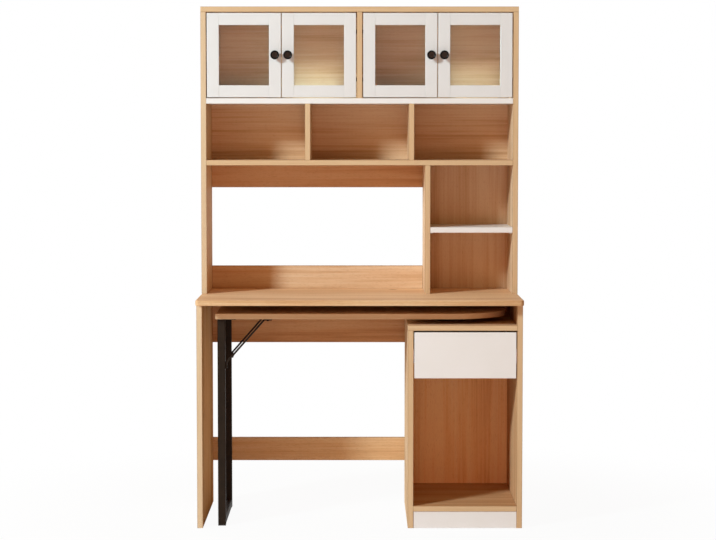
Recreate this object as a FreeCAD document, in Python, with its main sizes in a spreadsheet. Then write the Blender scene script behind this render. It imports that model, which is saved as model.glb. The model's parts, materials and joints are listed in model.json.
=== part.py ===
"""Student desk with a hutch, a drawer pedestal and a lower top that swivels out.

The frame is +Z up, with the front of the desk facing -Y. The origin is at floor level, in the
middle of the desktop's width and depth. All sizes are in millimetres.
"""
import FreeCAD
import Part
import Sketcher
import os
import re

SHEET = "dims"
TOLERANCE = 1e-6

# The driving dimensions: alias, value, what it measures.
DIMENSIONS = (
    ("desk_width", 1060, "across the outer faces of the side panels"),
    ("desk_depth", 500, "front to back of the side panels"),
    ("desk_height", 750, "floor to the desktop's upper face"),
    ("board", 18, "thickness of the laminated boards"),
    ("top_lip", 50, "desktop in front of the side panels"),
    ("top_corner", 12, "radius of the desktop's front corners"),
    ("top_round", 3, "rounding of the desktop's edges"),
    ("edge_round", 1.5, "rounding of the swivel top's edges"),
    ("modesty_height", 170, "rail under the back of the desktop"),
    ("foot_rail_height", 80, "rail near the floor"),
    ("foot_rail_rise", 148, "floor to the foot rail"),
    ("pedestal_width", 355, "pedestal's left face to the right side panel"),
    ("pedestal_back_inset", 24, "rails at the back to the pedestal's back board"),
    ("kick_height", 55, "kickboard under the pedestal's floor"),
    ("kick_setback", 2, "kickboard behind the front"),
    ("drawer_front_height", 150, "drawer front"),
    ("drawer_gap", 3, "beside the drawer front"),
    ("drawer_top_gap", 5, "above the drawer front"),
    ("drawer_rear_gap", 22, "drawer box to the pedestal's back board"),
    ("drawer_box_height", 110, "drawer sides"),
    ("drawer_box_rise", 15, "drawer sides above the front's lower edge"),
    ("drawer_side", 12, "thickness of the drawer's sides and back"),
    ("drawer_sheet", 5, "thickness of the drawer's bottom"),
    ("drawer_groove", 5, "depth of the groove that holds the bottom"),
    ("drawer_bottom_rise", 10, "sides' lower edge to the bottom"),
    ("runner_space", 12.7, "panel to drawer side, filled by the runner"),
    ("runner_height", 45, "outer channel of a runner"),
    ("runner_channel_depth", 9, "outer channel, out from the panel"),
    ("runner_rail_depth", 9.5, "inner channel, out from the drawer side"),
    ("runner_lip", 6, "lip of the outer channel"),
    ("runner_wall", 1.5, "steel of a runner"),
    ("swivel_width", 390, "front to back of the swivel top, twice its end radius"),
    ("swivel_drop", 32, "under the desktop, down to the swivel top"),
    ("swivel_setback", 30, "swivel top behind the side panels' front"),
    ("swivel_end_gap", 41, "left side panel to the swivel top's end"),
    ("swivel_side_gap", 25, "swivel top's round end to the right side panel"),
    ("pivot_gap", 17, "pedestal's top to the swivel top"),
    ("pivot_radius", 8, "pivot pin"),
    ("pivot_clearance", 0.05, "radial clearance round the pivot pin"),
    ("pivot_hub_radius", 18, "hub that carries the thrust washer"),
    ("pivot_disc_radius", 55, "both pivot discs"),
    ("pivot_disc", 4, "thickness of the lower pivot disc"),
    ("pivot_plate", 3, "thickness of the upper pivot disc"),
    ("pivot_washer", 1, "thickness of the thrust washer"),
    ("pivot_reach", 12, "pin inside the swivel top"),
    ("pivot_screw_circle", 42, "radius of the pivot discs' screw circle"),
    ("moving_gap", 0.3, "between a moving piece and the piece beside it"),
    ("tube", 25, "square tube of the leg"),
    ("tube_wall", 1.5, "wall of the leg's tube"),
    ("leg_inset", 6, "swivel top's end to the leg"),
    ("leg_setback", 15, "swivel top's long edges to the leg"),
    ("leg_plate", 3, "thickness of the leg's top plate"),
    ("leg_plate_width", 60, "top plate along the swivel top"),
    ("glide_height", 3, "foot of a glide, under the tube"),
    ("glide_plug", 15, "plug of a glide, inside the tube"),
    ("brace_width", 14, "flat bar of a brace"),
    ("brace_bar", 6, "thickness of a brace"),
    ("brace_run", 127, "leg to the brace's upper bend"),
    ("brace_drop", 144, "swivel top to the brace's lower bend"),
    ("brace_tab", 20, "flat tab on the leg"),
    ("brace_top_tab", 26, "flat tab under the swivel top"),
    ("brace_screw_inset", 12, "brace's bends to its screws"),
    ("screw_radius", 2, "shank of a wood screw"),
    ("screw_head_radius", 4, "pan head of a screw"),
    ("screw_head", 2.5, "height of a screw's head"),
    ("screw_grip", 12, "screw inside the board"),
    ("hutch_depth", 265, "front to back of the hutch's sides"),
    ("hutch_height", 958, "desktop to the hutch's upper face"),
    ("back_sheet", 5, "thickness of the thin backs"),
    ("back_inset", 8, "thin backs in from the rear edge"),
    ("back_groove", 6, "depth of the grooves that hold the thin backs"),
    ("door_opening", 286, "height of the door row"),
    ("cubby_height", 188, "height of the cubby row"),
    ("tower_width", 275, "clear width of the tower"),
    ("tower_shelf_rise", 205, "desktop to the tower's shelf"),
    ("hutch_rail_height", 79, "rails at the back of the hutch"),
    ("pin_radius", 2.5, "shelf pin"),
    ("pin_seat", 8, "shelf pin inside the panel"),
    ("pin_reach", 8, "shelf pin under the shelf"),
    ("pin_inset", 35, "shelf's front and rear edges to the pins"),
    ("door_gap", 3, "round each door"),
    ("door_board", 18, "thickness of a door's frame"),
    ("stile", 40, "width of a door's stiles and rails"),
    ("glass", 4, "thickness of the glass"),
    ("glass_play", 0.3, "glass to each wall of its groove"),
    ("glass_groove", 8, "depth of the glass groove"),
    ("cup_radius", 13, "hinge cup"),
    ("cup_depth", 11, "hinge cup inside the stile"),
    ("cup_wall", 1, "wall and flange of the hinge cup"),
    ("cup_offset", 17, "door's edge to the middle of the cup"),
    ("cup_flange", 40, "flange of the cup, up the stile"),
    ("cup_link_height", 10, "link block across the inside of the cup"),
    ("hinge_inset", 60, "door's lower and upper edges to the hinges"),
    ("arm_height", 12, "hinge arm, up the panel"),
    ("arm_length", 55, "hinge arm, back along the panel"),
    ("arm_bar", 9, "thickness of the hinge arm"),
    ("arm_nose", 14, "front of the arm, reaching over to the cup"),
    ("knob_radius", 15, "rim of a knob"),
    ("knob_height", 24, "knob out from the door"),
    ("knob_neck", 6, "radius of the knob's neck"),
    ("knob_foot", 2, "flare of the neck where it meets the door"),
    ("knob_rim", 7, "height of the knob's rim"),
    ("knob_ring", 4, "raised ring round the knob's face"),
    ("knob_dish", 2.5, "depth of the dish inside the ring"),
    ("knob_round", 1.2, "rounding of the knob's rim"),
    ("knob_bolt_reach", 8, "bolt inside the knob"),
)

# Lengths and places that follow from the driving dimensions, written with the names above.
DERIVED = {
    "front": "(top_lip - desk_depth) / 2",
    "back": "(top_lip + desk_depth) / 2",
    "outer": "desk_width / 2",
    "inner": "desk_width / 2 - board",
    "under_top": "desk_height - board",
    "case_depth": "desk_depth - board",
    "swivel_under": "under_top - swivel_drop - board",
    "pedestal_height": "swivel_under - pivot_gap",
    "pedestal_left": "inner - pedestal_width",
    "pedestal_inner": "pedestal_left + board",
    "pedestal_clear": "pedestal_width - board",
    "pedestal_under": "pedestal_height - board",
    "pedestal_floor": "kick_height + board",
    "pedestal_back_front": "back - 2 * board - pedestal_back_inset",
    "drawer_foot": "pedestal_under - drawer_top_gap - drawer_front_height",
    "drawer_box_foot": "drawer_foot + drawer_box_rise",
    "drawer_left": "pedestal_inner + runner_space",
    "drawer_outer": "pedestal_clear - 2 * runner_space",
    "drawer_start": "front + board",
    "drawer_length": "pedestal_back_front - drawer_start - drawer_rear_gap",
    "runner_foot": "drawer_box_foot + (drawer_box_height - runner_height) / 2",
    "runner_rail_height": "runner_height - 2 * runner_lip - 2 * moving_gap",
    "rail_foot": "drawer_box_foot + (drawer_box_height - runner_rail_height) / 2",
    "swivel_radius": "swivel_width / 2",
    "swivel_left": "swivel_end_gap - inner",
    "swivel_front": "front + swivel_setback",
    "pivot_x": "inner - swivel_side_gap - swivel_radius",
    "pivot_y": "swivel_front + swivel_radius",
    "hub_height": "pivot_gap - pivot_plate - pivot_washer - moving_gap",
    "leg_left": "swivel_left + leg_inset",
    "leg_front": "swivel_front + leg_setback",
    "leg_rear": "swivel_front + swivel_width - leg_setback - tube",
    "plate_under": "swivel_under - leg_plate",
    "brace_top_bend": "brace_bar * tan(atan(brace_drop / brace_run) / 2)",
    "brace_foot_bend": "brace_bar * tan(atan(brace_run / brace_drop) / 2)",
    "brace_screw_z": "swivel_under - brace_drop - brace_screw_inset",
    "hutch_front": "back - hutch_depth",
    "hutch_under": "desk_height + hutch_height - board",
    "door_floor": "hutch_under - door_opening",
    "cubby_ceiling": "door_floor - board",
    "cubby_floor": "cubby_ceiling - cubby_height",
    "long_under": "cubby_floor - board",
    "shelf_depth": "hutch_depth - back_inset - back_sheet",
    "back_face": "back - back_inset - back_sheet",
    "tower_left": "inner - tower_width",
    "tower_floor": "desk_height + tower_shelf_rise",
    "cubby_width": "2 * (inner - board) / 3",
    "door_width": "(inner - board / 2 - 3 * door_gap) / 2",
    "door_height": "door_opening - 2 * door_gap",
    "door_foot": "door_floor + door_gap",
    "door_back": "hutch_front + door_board",
    "groove_width": "glass + 2 * glass_play",
    "groove_front": "hutch_front + (door_board - groove_width) / 2",
    "rail_length": "door_width - 2 * stile",
    "rail_tongue": "rail_length + 2 * glass_groove",
}

DOOR_NUMBERS = (1, 2, 3, 4)
DOOR_LEFT_EDGES = {
    1: "-inner + door_gap",
    2: "-board / 2 - door_gap - door_width",
    3: "board / 2 + door_gap",
    4: "inner - door_gap - door_width",
}
LEFT_HINGED = (1, 3)

ALONG_X = FreeCAD.Rotation(FreeCAD.Vector(0, 1, 0), 90)
ALONG_Y = FreeCAD.Rotation(FreeCAD.Vector(1, 0, 0), -90)
TOWARDS_FRONT = FreeCAD.Rotation(FreeCAD.Vector(1, 0, 0), 90)
TOWARDS_LEFT = FreeCAD.Rotation(FreeCAD.Vector(0, 1, 0), -90)
DOWNWARD = FreeCAD.Rotation(FreeCAD.Vector(1, 0, 0), 180)
UPRIGHT = FreeCAD.Rotation()

doc = FreeCAD.newDocument("student_desk")
nodes = []


def make_sheet():
    """Put the driving dimensions into the spreadsheet, one aliased cell each."""
    sheet = doc.addObject("Spreadsheet::Sheet", SHEET)
    for row, (alias, value, meaning) in enumerate(DIMENSIONS, start=1):
        sheet.set(f"A{row}", meaning)
        sheet.set(f"B{row}", str(value))
        sheet.setAlias(f"B{row}", alias)
    doc.recompute()
    return sheet


def formula(text):
    """Turn a text of plain names into an expression that reads the sheet."""
    def read(match):
        word = match.group(0)
        return f"({formula(DERIVED[word])})" if word in DERIVED else f"{SHEET}.{word}"
    return re.sub(r"\b[a-z]\w+\b(?!\()", read, str(text))


def value_of(text):
    """Work out a text of plain names with the sheet's present values."""
    return float(dims.evalExpression(formula(text)))


def bind(item, **sizes):
    """Bind an object's properties to texts of plain names."""
    for name, text in sizes.items():
        item.setExpression(name, formula(text))
    return item


def place(item, corner, rotation=UPRIGHT):
    """Bind an object's position, and set its fixed rotation."""
    item.Placement = FreeCAD.Placement(FreeCAD.Vector(), rotation)
    for axis, text in zip("xyz", corner):
        item.setExpression(f".Placement.Base.{axis}", formula(text))
    return item


def node(item, label):
    """Name an object as a sub-part, which gets a file of its own."""
    item.Label = label
    nodes.append(item)
    return item


def box(corner, size):
    """A box from its lowest corner and its three sizes."""
    item = doc.addObject("Part::Box", "Box")
    bind(item, Length=size[0], Width=size[1], Height=size[2])
    return place(item, corner)


def rod(centre, radius, length, rotation=UPRIGHT):
    """A cylinder from the centre of its first end, along the rotated Z axis."""
    item = doc.addObject("Part::Cylinder", "Rod")
    bind(item, Radius=radius, Height=length)
    return place(item, centre, rotation)


def group(items):
    """Several separate solids as one object."""
    item = doc.addObject("Part::Compound", "Group")
    item.Links = items
    return item


def fuse(items):
    """One solid from several."""
    item = doc.addObject("Part::MultiFuse", "Fuse")
    item.Shapes = items
    item.Refine = True
    return item


def cut(base, tools):
    """A solid with the tools' shapes taken away."""
    item = doc.addObject("Part::Cut", "Cut")
    item.Base = base
    item.Tool = tools[0] if len(tools) == 1 else group(tools)
    return item


def origin_feature(body, role):
    """The origin plane or axis of a body with this role."""
    return next(item for item in body.Origin.OriginFeatures if item.Role == role)


def new_sketch(body, plane):
    """An empty sketch on one of its body's origin planes."""
    sketch = body.newObject("Sketcher::SketchObject", "Profile")
    sketch.AttachmentSupport = [(origin_feature(body, plane), "")]
    sketch.MapMode = "FlatFace"
    return sketch


def hold_point(sketch, edge, end, point):
    """Fix a sketch point at two texts of plain names, measured from the sketch's origin."""
    for kind, axis, text in (("DistanceX", -2, point[0]), ("DistanceY", -1, point[1])):
        if str(text) == "0":
            sketch.addConstraint(Sketcher.Constraint("PointOnObject", edge, end, axis))
            continue
        constraint = Sketcher.Constraint(kind, edge, end, value_of(text))
        index = sketch.addConstraint(constraint)
        sketch.setExpression(f"Constraints[{index}]", formula(text))


def draw_loop(sketch, points):
    """Draw a closed loop of straight lines through points given as pairs of texts."""
    corners = [FreeCAD.Vector(value_of(x), value_of(y), 0) for x, y in points]
    first = sketch.GeometryCount
    count = len(corners)
    for index in range(count):
        line = Part.LineSegment(corners[index], corners[(index + 1) % count])
        sketch.addGeometry(line, False)
    for index in range(count):
        following = first + (index + 1) % count
        sketch.addConstraint(Sketcher.Constraint("Coincident", first + index, 2, following, 1))
        hold_point(sketch, first + index, 1, points[index])


def draw_circle(sketch, centre, radius):
    """Draw a circle whose centre and radius are texts of plain names."""
    middle = FreeCAD.Vector(value_of(centre[0]), value_of(centre[1]), 0)
    circle = Part.Circle(middle, FreeCAD.Vector(0, 0, 1), value_of(radius))
    edge = sketch.addGeometry(circle, False)
    index = sketch.addConstraint(Sketcher.Constraint("Radius", edge, value_of(radius)))
    sketch.setExpression(f"Constraints[{index}]", formula(radius))
    hold_point(sketch, edge, 3, centre)


def pad(body, sketch, length, reverse=False):
    """Pad a sketch of the body."""
    feature = body.newObject("PartDesign::Pad", "Pad")
    feature.Profile = sketch
    feature.Reversed = reverse
    return bind(feature, Length=length)


def prism(loops, length, corner, plane="XY_Plane", reverse=False):
    """A body padded from straight-sided loops."""
    body = doc.addObject("PartDesign::Body", "Prism")
    sketch = new_sketch(body, plane)
    for loop in loops:
        draw_loop(sketch, loop)
    pad(body, sketch, length, reverse)
    return place(body, corner)


def turned(points, corner, rotation=UPRIGHT):
    """A body turned about its own Z axis from a half section of (radius, height) points."""
    body = doc.addObject("PartDesign::Body", "Turned")
    sketch = new_sketch(body, "XZ_Plane")
    draw_loop(sketch, points)
    feature = body.newObject("PartDesign::Revolution", "Revolution")
    feature.Profile = sketch
    feature.ReferenceAxis = (sketch, ["V_Axis"])
    feature.Angle = 360
    return place(body, corner, rotation)


def square(size, start="0"):
    """The loop of a square whose first corner is at the same distance along both axes."""
    end = f"{start} + {size}"
    return [(start, start), (end, start), (end, end), (start, end)]


def round_edges(body, feature, wanted, radius):
    """Fillet the feature's edges that the test picks."""
    doc.recompute()
    names = [f"Edge{number}" for number, edge in enumerate(feature.Shape.Edges, start=1)
             if wanted(edge)]
    fillet = body.newObject("PartDesign::Fillet", "Fillet")
    fillet.Base = (feature, names)
    return bind(fillet, Radius=radius)


def is_upright(edge):
    """Whether an edge is a vertical line."""
    ends = [vertex.Point for vertex in edge.Vertexes]
    return len(ends) == 2 and abs(ends[0].z - ends[1].z) > edge.Length - TOLERANCE


def is_level(edge):
    """Whether an edge lies level."""
    return edge.BoundBox.ZLength < TOLERANCE


def screw(seat, rotation, grip="screw_grip", radius="screw_radius"):
    """A pan-head screw whose head rests at the seat, its shank along the rotated Z axis."""
    section = [("0", "-screw_head"), ("screw_head_radius", "-screw_head"),
               ("screw_head_radius", "0"), (radius, "0"), (radius, grip), ("0", grip)]
    return turned(section, seat, rotation)


# --- Carcass ---------------------------------------------------------------------------------


def side_panels():
    """The two full-depth panels that carry the desktop."""
    size = ("board", "desk_depth", "under_top")
    node(box(("-outer", "front", "0"), size), "left_side_panel")
    node(box(("inner", "front", "0"), size), "right_side_panel")


def desktop():
    """The desktop, with rounded front corners and softened upper and lower edges."""
    body = doc.addObject("PartDesign::Body", "Desktop")
    sketch = new_sketch(body, "XY_Plane")
    width, depth = "desk_width", "desk_depth + top_lip"
    draw_loop(sketch, [("0", "0"), (width, "0"), (width, depth), ("0", depth)])
    slab = pad(body, sketch, "board")
    half = value_of("desk_depth / 2")
    corners = round_edges(body, slab, lambda edge: is_upright(edge)
                          and edge.CenterOfMass.y < half, "top_corner")
    round_edges(body, corners, is_level, "top_round")
    place(body, ("-outer", "-(desk_depth + top_lip) / 2", "under_top"))
    node(body, "desktop")


def lower_rails():
    """The two rails that tie the side panels together at the back."""
    width = "2 * inner"
    rail_y = "back - board"
    modesty = box(("-inner", rail_y, "under_top - modesty_height"), (width, "board", "modesty_height"))
    foot = box(("-inner", rail_y, "foot_rail_rise"), (width, "board", "foot_rail_height"))
    node(modesty, "modesty_rail")
    node(foot, "foot_rail")


def pedestal():
    """The drawer pedestal, between its own left panel and the right side panel."""
    left = box(("pedestal_left", "front", "0"), ("board", "case_depth", "pedestal_under"))
    floor_size = ("pedestal_clear", "case_depth", "board")
    floor = box(("pedestal_inner", "front", "kick_height"), floor_size)
    kick_size = ("pedestal_clear", "board", "kick_height")
    kick = box(("pedestal_inner", "front + kick_setback", "0"), kick_size)
    back_corner = ("pedestal_inner", "pedestal_back_front", "pedestal_floor")
    back = box(back_corner, ("pedestal_clear", "board", "pedestal_under - pedestal_floor"))
    node(left, "pedestal_left_panel")
    node(floor, "pedestal_floor_board")
    node(kick, "kickboard")
    node(back, "pedestal_back")
    lid = box(("pedestal_left", "front", "pedestal_under"), ("pedestal_width", "case_depth", "board"))
    pilots = [rod((x, y, "pedestal_height - screw_grip"), "screw_radius", "screw_grip")
              for x, y in pivot_screw_places()]
    node(cut(lid, pilots), "pedestal_top")


# --- Drawer ----------------------------------------------------------------------------------


def runner_channel(left):
    """The outer channel of a runner, open towards the drawer."""
    way = "" if left else "-"
    section = [("0", "0"), ("runner_channel_depth", "0"), ("runner_channel_depth", "runner_lip"),
               ("runner_channel_depth - runner_wall", "runner_lip"),
               ("runner_channel_depth - runner_wall", "runner_wall"),
               ("runner_wall", "runner_wall"),
               ("runner_wall", "runner_height - runner_wall"),
               ("runner_channel_depth - runner_wall", "runner_height - runner_wall"),
               ("runner_channel_depth - runner_wall", "runner_height - runner_lip"),
               ("runner_channel_depth", "runner_height - runner_lip"),
               ("runner_channel_depth", "runner_height"), ("0", "runner_height")]
    points = [(x if x == "0" else f"{way}({x})", z) for x, z in section]
    start = "pedestal_inner" if left else "inner"
    return prism([points], "drawer_length", (start, "drawer_start", "runner_foot"), "XZ_Plane", True)


def runner_rail(left):
    """The inner channel of a runner, screwed to the drawer side and open towards the panel."""
    way = "-" if left else ""
    reach = "runner_rail_depth"
    high = "runner_rail_height"
    section = [("0", "0"), (reach, "0"), (reach, "runner_wall"), ("runner_wall", "runner_wall"),
               ("runner_wall", f"{high} - runner_wall"), (reach, f"{high} - runner_wall"),
               (reach, high), ("0", high)]
    points = [(x if x == "0" else f"{way}({x})", z) for x, z in section]
    start = "drawer_left" if left else "inner - runner_space"
    return prism([points], "drawer_length", (start, "drawer_start", "rail_foot"), "XZ_Plane", True)


def drawer_side(left):
    """A drawer side with the groove that holds the bottom."""
    corner_x = "drawer_left" if left else "inner - runner_space - drawer_side"
    groove_x = "drawer_left + drawer_side - drawer_groove" if left else corner_x
    body = box((corner_x, "drawer_start", "drawer_box_foot"),
               ("drawer_side", "drawer_length", "drawer_box_height"))
    groove = box((groove_x, "drawer_start", "drawer_box_foot + drawer_bottom_rise"),
                 ("drawer_groove", "drawer_length", "drawer_sheet"))
    return cut(body, [groove])


def drawer():
    """The drawer and both halves of its runners."""
    front_size = ("pedestal_clear - 2 * drawer_gap", "board", "drawer_front_height")
    front_board = box(("pedestal_inner + drawer_gap", "front", "drawer_foot"), front_size)
    inside = "drawer_left + drawer_side"
    clear = "drawer_outer - 2 * drawer_side"
    sheet_foot = "drawer_box_foot + drawer_bottom_rise"
    sheet = box((f"{inside} - drawer_groove", "drawer_start", sheet_foot),
                (f"{clear} + 2 * drawer_groove", "drawer_length", "drawer_sheet"))
    back = box((inside, "drawer_start + drawer_length - drawer_side", f"{sheet_foot} + drawer_sheet"),
               (clear, "drawer_side", "drawer_box_height - drawer_bottom_rise - drawer_sheet"))
    node(front_board, "drawer_front")
    node(drawer_side(True), "drawer_left_side")
    node(drawer_side(False), "drawer_right_side")
    node(back, "drawer_back")
    node(sheet, "drawer_bottom")
    node(group([runner_rail(True), runner_rail(False)]), "drawer_runner_rails")
    node(group([runner_channel(True), runner_channel(False)]), "runner_channels")


# --- Swivel top and its leg ------------------------------------------------------------------


def pivot_screw_places():
    """The four screws round the pivot, as pairs of texts."""
    return [(f"pivot_x {side_x} pivot_screw_circle", "pivot_y") for side_x in "+-"] + \
           [("pivot_x", f"pivot_y {side_y} pivot_screw_circle") for side_y in "+-"]


def plate_screw_places():
    """The six screws through the leg's top plate, on the side away from the posts."""
    across = "leg_left + (leg_plate_width + tube) / 2"
    first = "leg_front + tube"
    span = "(swivel_width - 2 * leg_setback - 2 * tube)"
    return [(across, f"{first} + {span} * {share}") for share in ("0", "1 / 2", "1")]


def brace_middles():
    """The depth of the middle of each brace."""
    return ["leg_front + tube / 2", "leg_rear + tube / 2"]


def brace_tab_places():
    """The screws through the upper tabs of the braces, as pairs of texts."""
    across = "leg_left + tube + brace_run + brace_screw_inset"
    return [(across, middle) for middle in brace_middles()]


def swivel_top():
    """The lower top, square at the leg's end and round about the pivot at the other."""
    body = doc.addObject("PartDesign::Body", "SwivelTop")
    straight = "pivot_x - swivel_left"
    sketch = new_sketch(body, "XY_Plane")
    draw_loop(sketch, [("0", "0"), (straight, "0"), (straight, "swivel_width"), ("0", "swivel_width")])
    pad(body, sketch, "board")
    disc = new_sketch(body, "XY_Plane")
    draw_circle(disc, (straight, "swivel_radius"), "swivel_radius")
    slab = pad(body, disc, "board")
    round_edges(body, slab, is_level, "edge_round")
    place(body, ("swivel_left", "swivel_front", "swivel_under"))
    pilots = [rod((x, y, "swivel_under"), "screw_radius", "screw_grip")
              for x, y in pivot_screw_places() + plate_screw_places() + brace_tab_places()]
    socket = rod(("pivot_x", "pivot_y", "swivel_under"), "pivot_radius + 2 * moving_gap",
                 "pivot_reach + 2 * moving_gap")
    node(cut(body, pilots + [socket]), "swivel_top")


def pivot():
    """The pivot: a disc with a hub and pin on the pedestal, a washer and a disc on the top."""
    pin_top = "pivot_gap + pivot_reach"
    section = [("0", "0"), ("pivot_disc_radius", "0"), ("pivot_disc_radius", "pivot_disc"),
               ("pivot_hub_radius", "pivot_disc"), ("pivot_hub_radius", "hub_height"),
               ("pivot_radius", "hub_height"), ("pivot_radius", pin_top), ("0", pin_top)]
    post = turned(section, ("pivot_x", "pivot_y", "pedestal_height"))
    holes = [rod((x, y, "pedestal_height"), "screw_radius", "pivot_disc")
             for x, y in pivot_screw_places()]
    node(cut(post, holes), "pivot_post")
    washer = cut(rod(("pivot_x", "pivot_y", "pedestal_height + hub_height"), "pivot_hub_radius",
                     "pivot_washer"),
                 [rod(("pivot_x", "pivot_y", "pedestal_height + hub_height"), "pivot_radius",
                      "pivot_washer")])
    node(washer, "thrust_washer")
    screws = [screw((x, y, "pedestal_height + pivot_disc"), DOWNWARD, "screw_grip + pivot_disc")
              for x, y in pivot_screw_places()]
    node(group(screws), "pivot_screws")
    plate_foot = "swivel_under - pivot_plate"
    plate = rod(("pivot_x", "pivot_y", plate_foot), "pivot_disc_radius", "pivot_plate")
    bore = rod(("pivot_x", "pivot_y", plate_foot), "pivot_radius + pivot_clearance", "pivot_plate")
    holes = [rod((x, y, plate_foot), "screw_radius", "pivot_plate") for x, y in pivot_screw_places()]
    node(cut(plate, [bore] + holes), "pivot_plate_disc")


def leg():
    """The steel leg: two posts, a floor rail and a top plate."""
    post_height = "plate_under - glide_height"
    tube_loops = [square("tube"), square("tube - 2 * tube_wall", "tube_wall")]
    for name, depth in (("leg_front_post", "leg_front"), ("leg_rear_post", "leg_rear")):
        post = prism(tube_loops, post_height, ("leg_left", depth, "glide_height"))
        wall_hole = rod(("leg_left + tube - tube_wall", f"{depth} + tube / 2", "brace_screw_z"),
                        "screw_radius", "tube_wall", ALONG_X)
        node(cut(post, [wall_hole]), name)
    rail = prism(tube_loops, "leg_rear - leg_front - tube",
                 ("leg_left", "leg_front + tube", "glide_height"), "XZ_Plane", True)
    node(rail, "leg_floor_rail")
    plate_size = ("leg_plate_width", "swivel_width - 2 * leg_setback", "leg_plate")
    plate = box(("leg_left", "leg_front", "plate_under"), plate_size)
    holes = [rod((x, y, "plate_under"), "screw_radius", "leg_plate") for x, y in plate_screw_places()]
    node(cut(plate, holes), "leg_top_plate")


def glide(depth):
    """A glide: a foot under the post and a plug inside its tube."""
    foot = box(("leg_left", depth, "0"), ("tube", "tube", "glide_height"))
    inside = "tube - 2 * tube_wall"
    plug = box(("leg_left + tube_wall", f"{depth} + tube_wall", "glide_height"),
               (inside, inside, "glide_plug"))
    return fuse([foot, plug])


def brace(middle):
    """A flat bar from the leg up to the top, with a bent tab at each end."""
    section = [("0", "-brace_drop - brace_tab"), ("brace_bar", "-brace_drop - brace_tab"),
               ("brace_bar", "-brace_drop - brace_foot_bend"),
               ("brace_run + brace_top_bend", "-brace_bar"),
               ("brace_run + brace_top_tab", "-brace_bar"), ("brace_run + brace_top_tab", "0"),
               ("brace_run", "0"), ("0", "-brace_drop")]
    bar = prism([section], "brace_width",
                ("leg_left + tube", f"{middle} - brace_width / 2", "swivel_under"), "XZ_Plane", True)
    upper = rod((brace_tab_places()[0][0], middle, "swivel_under - brace_bar"), "screw_radius",
                "brace_bar")
    lower = rod(("leg_left + tube", middle, "brace_screw_z"), "screw_radius", "brace_bar", ALONG_X)
    return cut(bar, [upper, lower])


def leg_fittings():
    """Glides, braces and the screws of the swivel top."""
    node(group([glide("leg_front"), glide("leg_rear")]), "leg_glides")
    node(group([brace(middle) for middle in brace_middles()]), "leg_braces")
    screws = [screw((x, y, "plate_under"), UPRIGHT, "screw_grip + leg_plate")
              for x, y in plate_screw_places()]
    screws += [screw((x, y, "swivel_under - brace_bar"), UPRIGHT, "screw_grip + brace_bar")
               for x, y in brace_tab_places()]
    screws += [screw((x, y, "swivel_under - pivot_plate"), UPRIGHT, "screw_grip + pivot_plate")
               for x, y in pivot_screw_places()]
    screws += [screw(("leg_left + tube + brace_bar", middle, "brace_screw_z"), TOWARDS_LEFT,
                     "brace_bar + tube_wall") for middle in brace_middles()]
    node(group(screws), "swivel_screws")


# --- Hutch -----------------------------------------------------------------------------------


def pin_places():
    """The four shelf pins, as (left end of the pin, depth) pairs of texts."""
    depths = ("hutch_front + pin_inset", "back_face - pin_inset")
    return [(x, y) for x in ("tower_left - pin_seat", "inner - pin_reach") for y in depths]


def pin_rods():
    """A fresh set of rods where the shelf pins go."""
    return [rod((x, y, "tower_floor - pin_radius"), "pin_radius", "pin_seat + pin_reach", ALONG_X)
            for x, y in pin_places()]


def back_panel(left, right, foot, top):
    """A thin back, or the tool for its grooves, between two pairs of faces."""
    return box((left, "back_face", foot), (f"{right} - ({left})", "back_sheet", f"{top} - ({foot})"))


def upper_back():
    """The back behind the doors and cubbies, which reaches into its grooves all round."""
    return back_panel("-inner - back_groove", "inner + back_groove", "cubby_floor - back_groove",
                      "hutch_under + back_groove")


def tower_back():
    """The back of the tower, in grooves at its sides and top."""
    return back_panel("tower_left - back_groove", "inner + back_groove", "desk_height",
                      "long_under + back_groove")


def hutch_shell():
    """The hutch's sides and top, grooved for the thin backs."""
    side_size = ("board", "hutch_depth", "hutch_under - desk_height")
    left = box(("-outer", "hutch_front", "desk_height"), side_size)
    right = box(("inner", "hutch_front", "desk_height"), side_size)
    lid = box(("-outer", "hutch_front", "hutch_under"), ("desk_width", "hutch_depth", "board"))
    node(cut(left, [upper_back()]), "hutch_left_side")
    node(cut(right, [upper_back(), tower_back()] + pin_rods()[2:]), "hutch_right_side")
    node(cut(lid, [upper_back()]), "hutch_top")


def hutch_shelves():
    """The shelves and dividers behind the doors and in the cubby row."""
    inside = "2 * inner"
    node(box(("-inner", "hutch_front", "cubby_ceiling"), (inside, "shelf_depth", "board")), "door_shelf")
    shelf = box(("-inner", "hutch_front", "long_under"), (inside, "hutch_depth", "board"))
    node(cut(shelf, [upper_back(), tower_back()]), "long_shelf")
    middle = box(("-board / 2", "hutch_front", "door_floor"), ("board", "shelf_depth", "door_opening"))
    node(middle, "door_divider")
    divider_size = ("board", "shelf_depth", "cubby_height")
    dividers = [box((x, "hutch_front", "cubby_floor"), divider_size)
                for x in ("-cubby_width / 2 - board", "cubby_width / 2")]
    node(group(dividers), "cubby_dividers")


def tower():
    """The tower beside the open part, with its loose shelf on four pins."""
    divider = box(("tower_left - board", "hutch_front", "desk_height"),
                  ("board", "hutch_depth", "long_under - desk_height"))
    node(cut(divider, [tower_back()] + pin_rods()[:2]), "tower_divider")
    node(box(("tower_left", "hutch_front", "tower_floor"), ("tower_width", "shelf_depth", "board")),
         "tower_shelf")
    node(group(pin_rods()), "shelf_pins")


def hutch_backs():
    """The thin backs, and the two rails of the open part beside the tower."""
    node(upper_back(), "upper_back")
    node(tower_back(), "tower_back")
    rail_size = ("inner + tower_left - board", "board", "hutch_rail_height")
    node(box(("-inner", "back - board", "long_under - hutch_rail_height"), rail_size),
         "hutch_upper_rail")
    node(box(("-inner", "back - board", "desk_height"), rail_size), "hutch_lower_rail")


# --- Doors -----------------------------------------------------------------------------------


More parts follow.
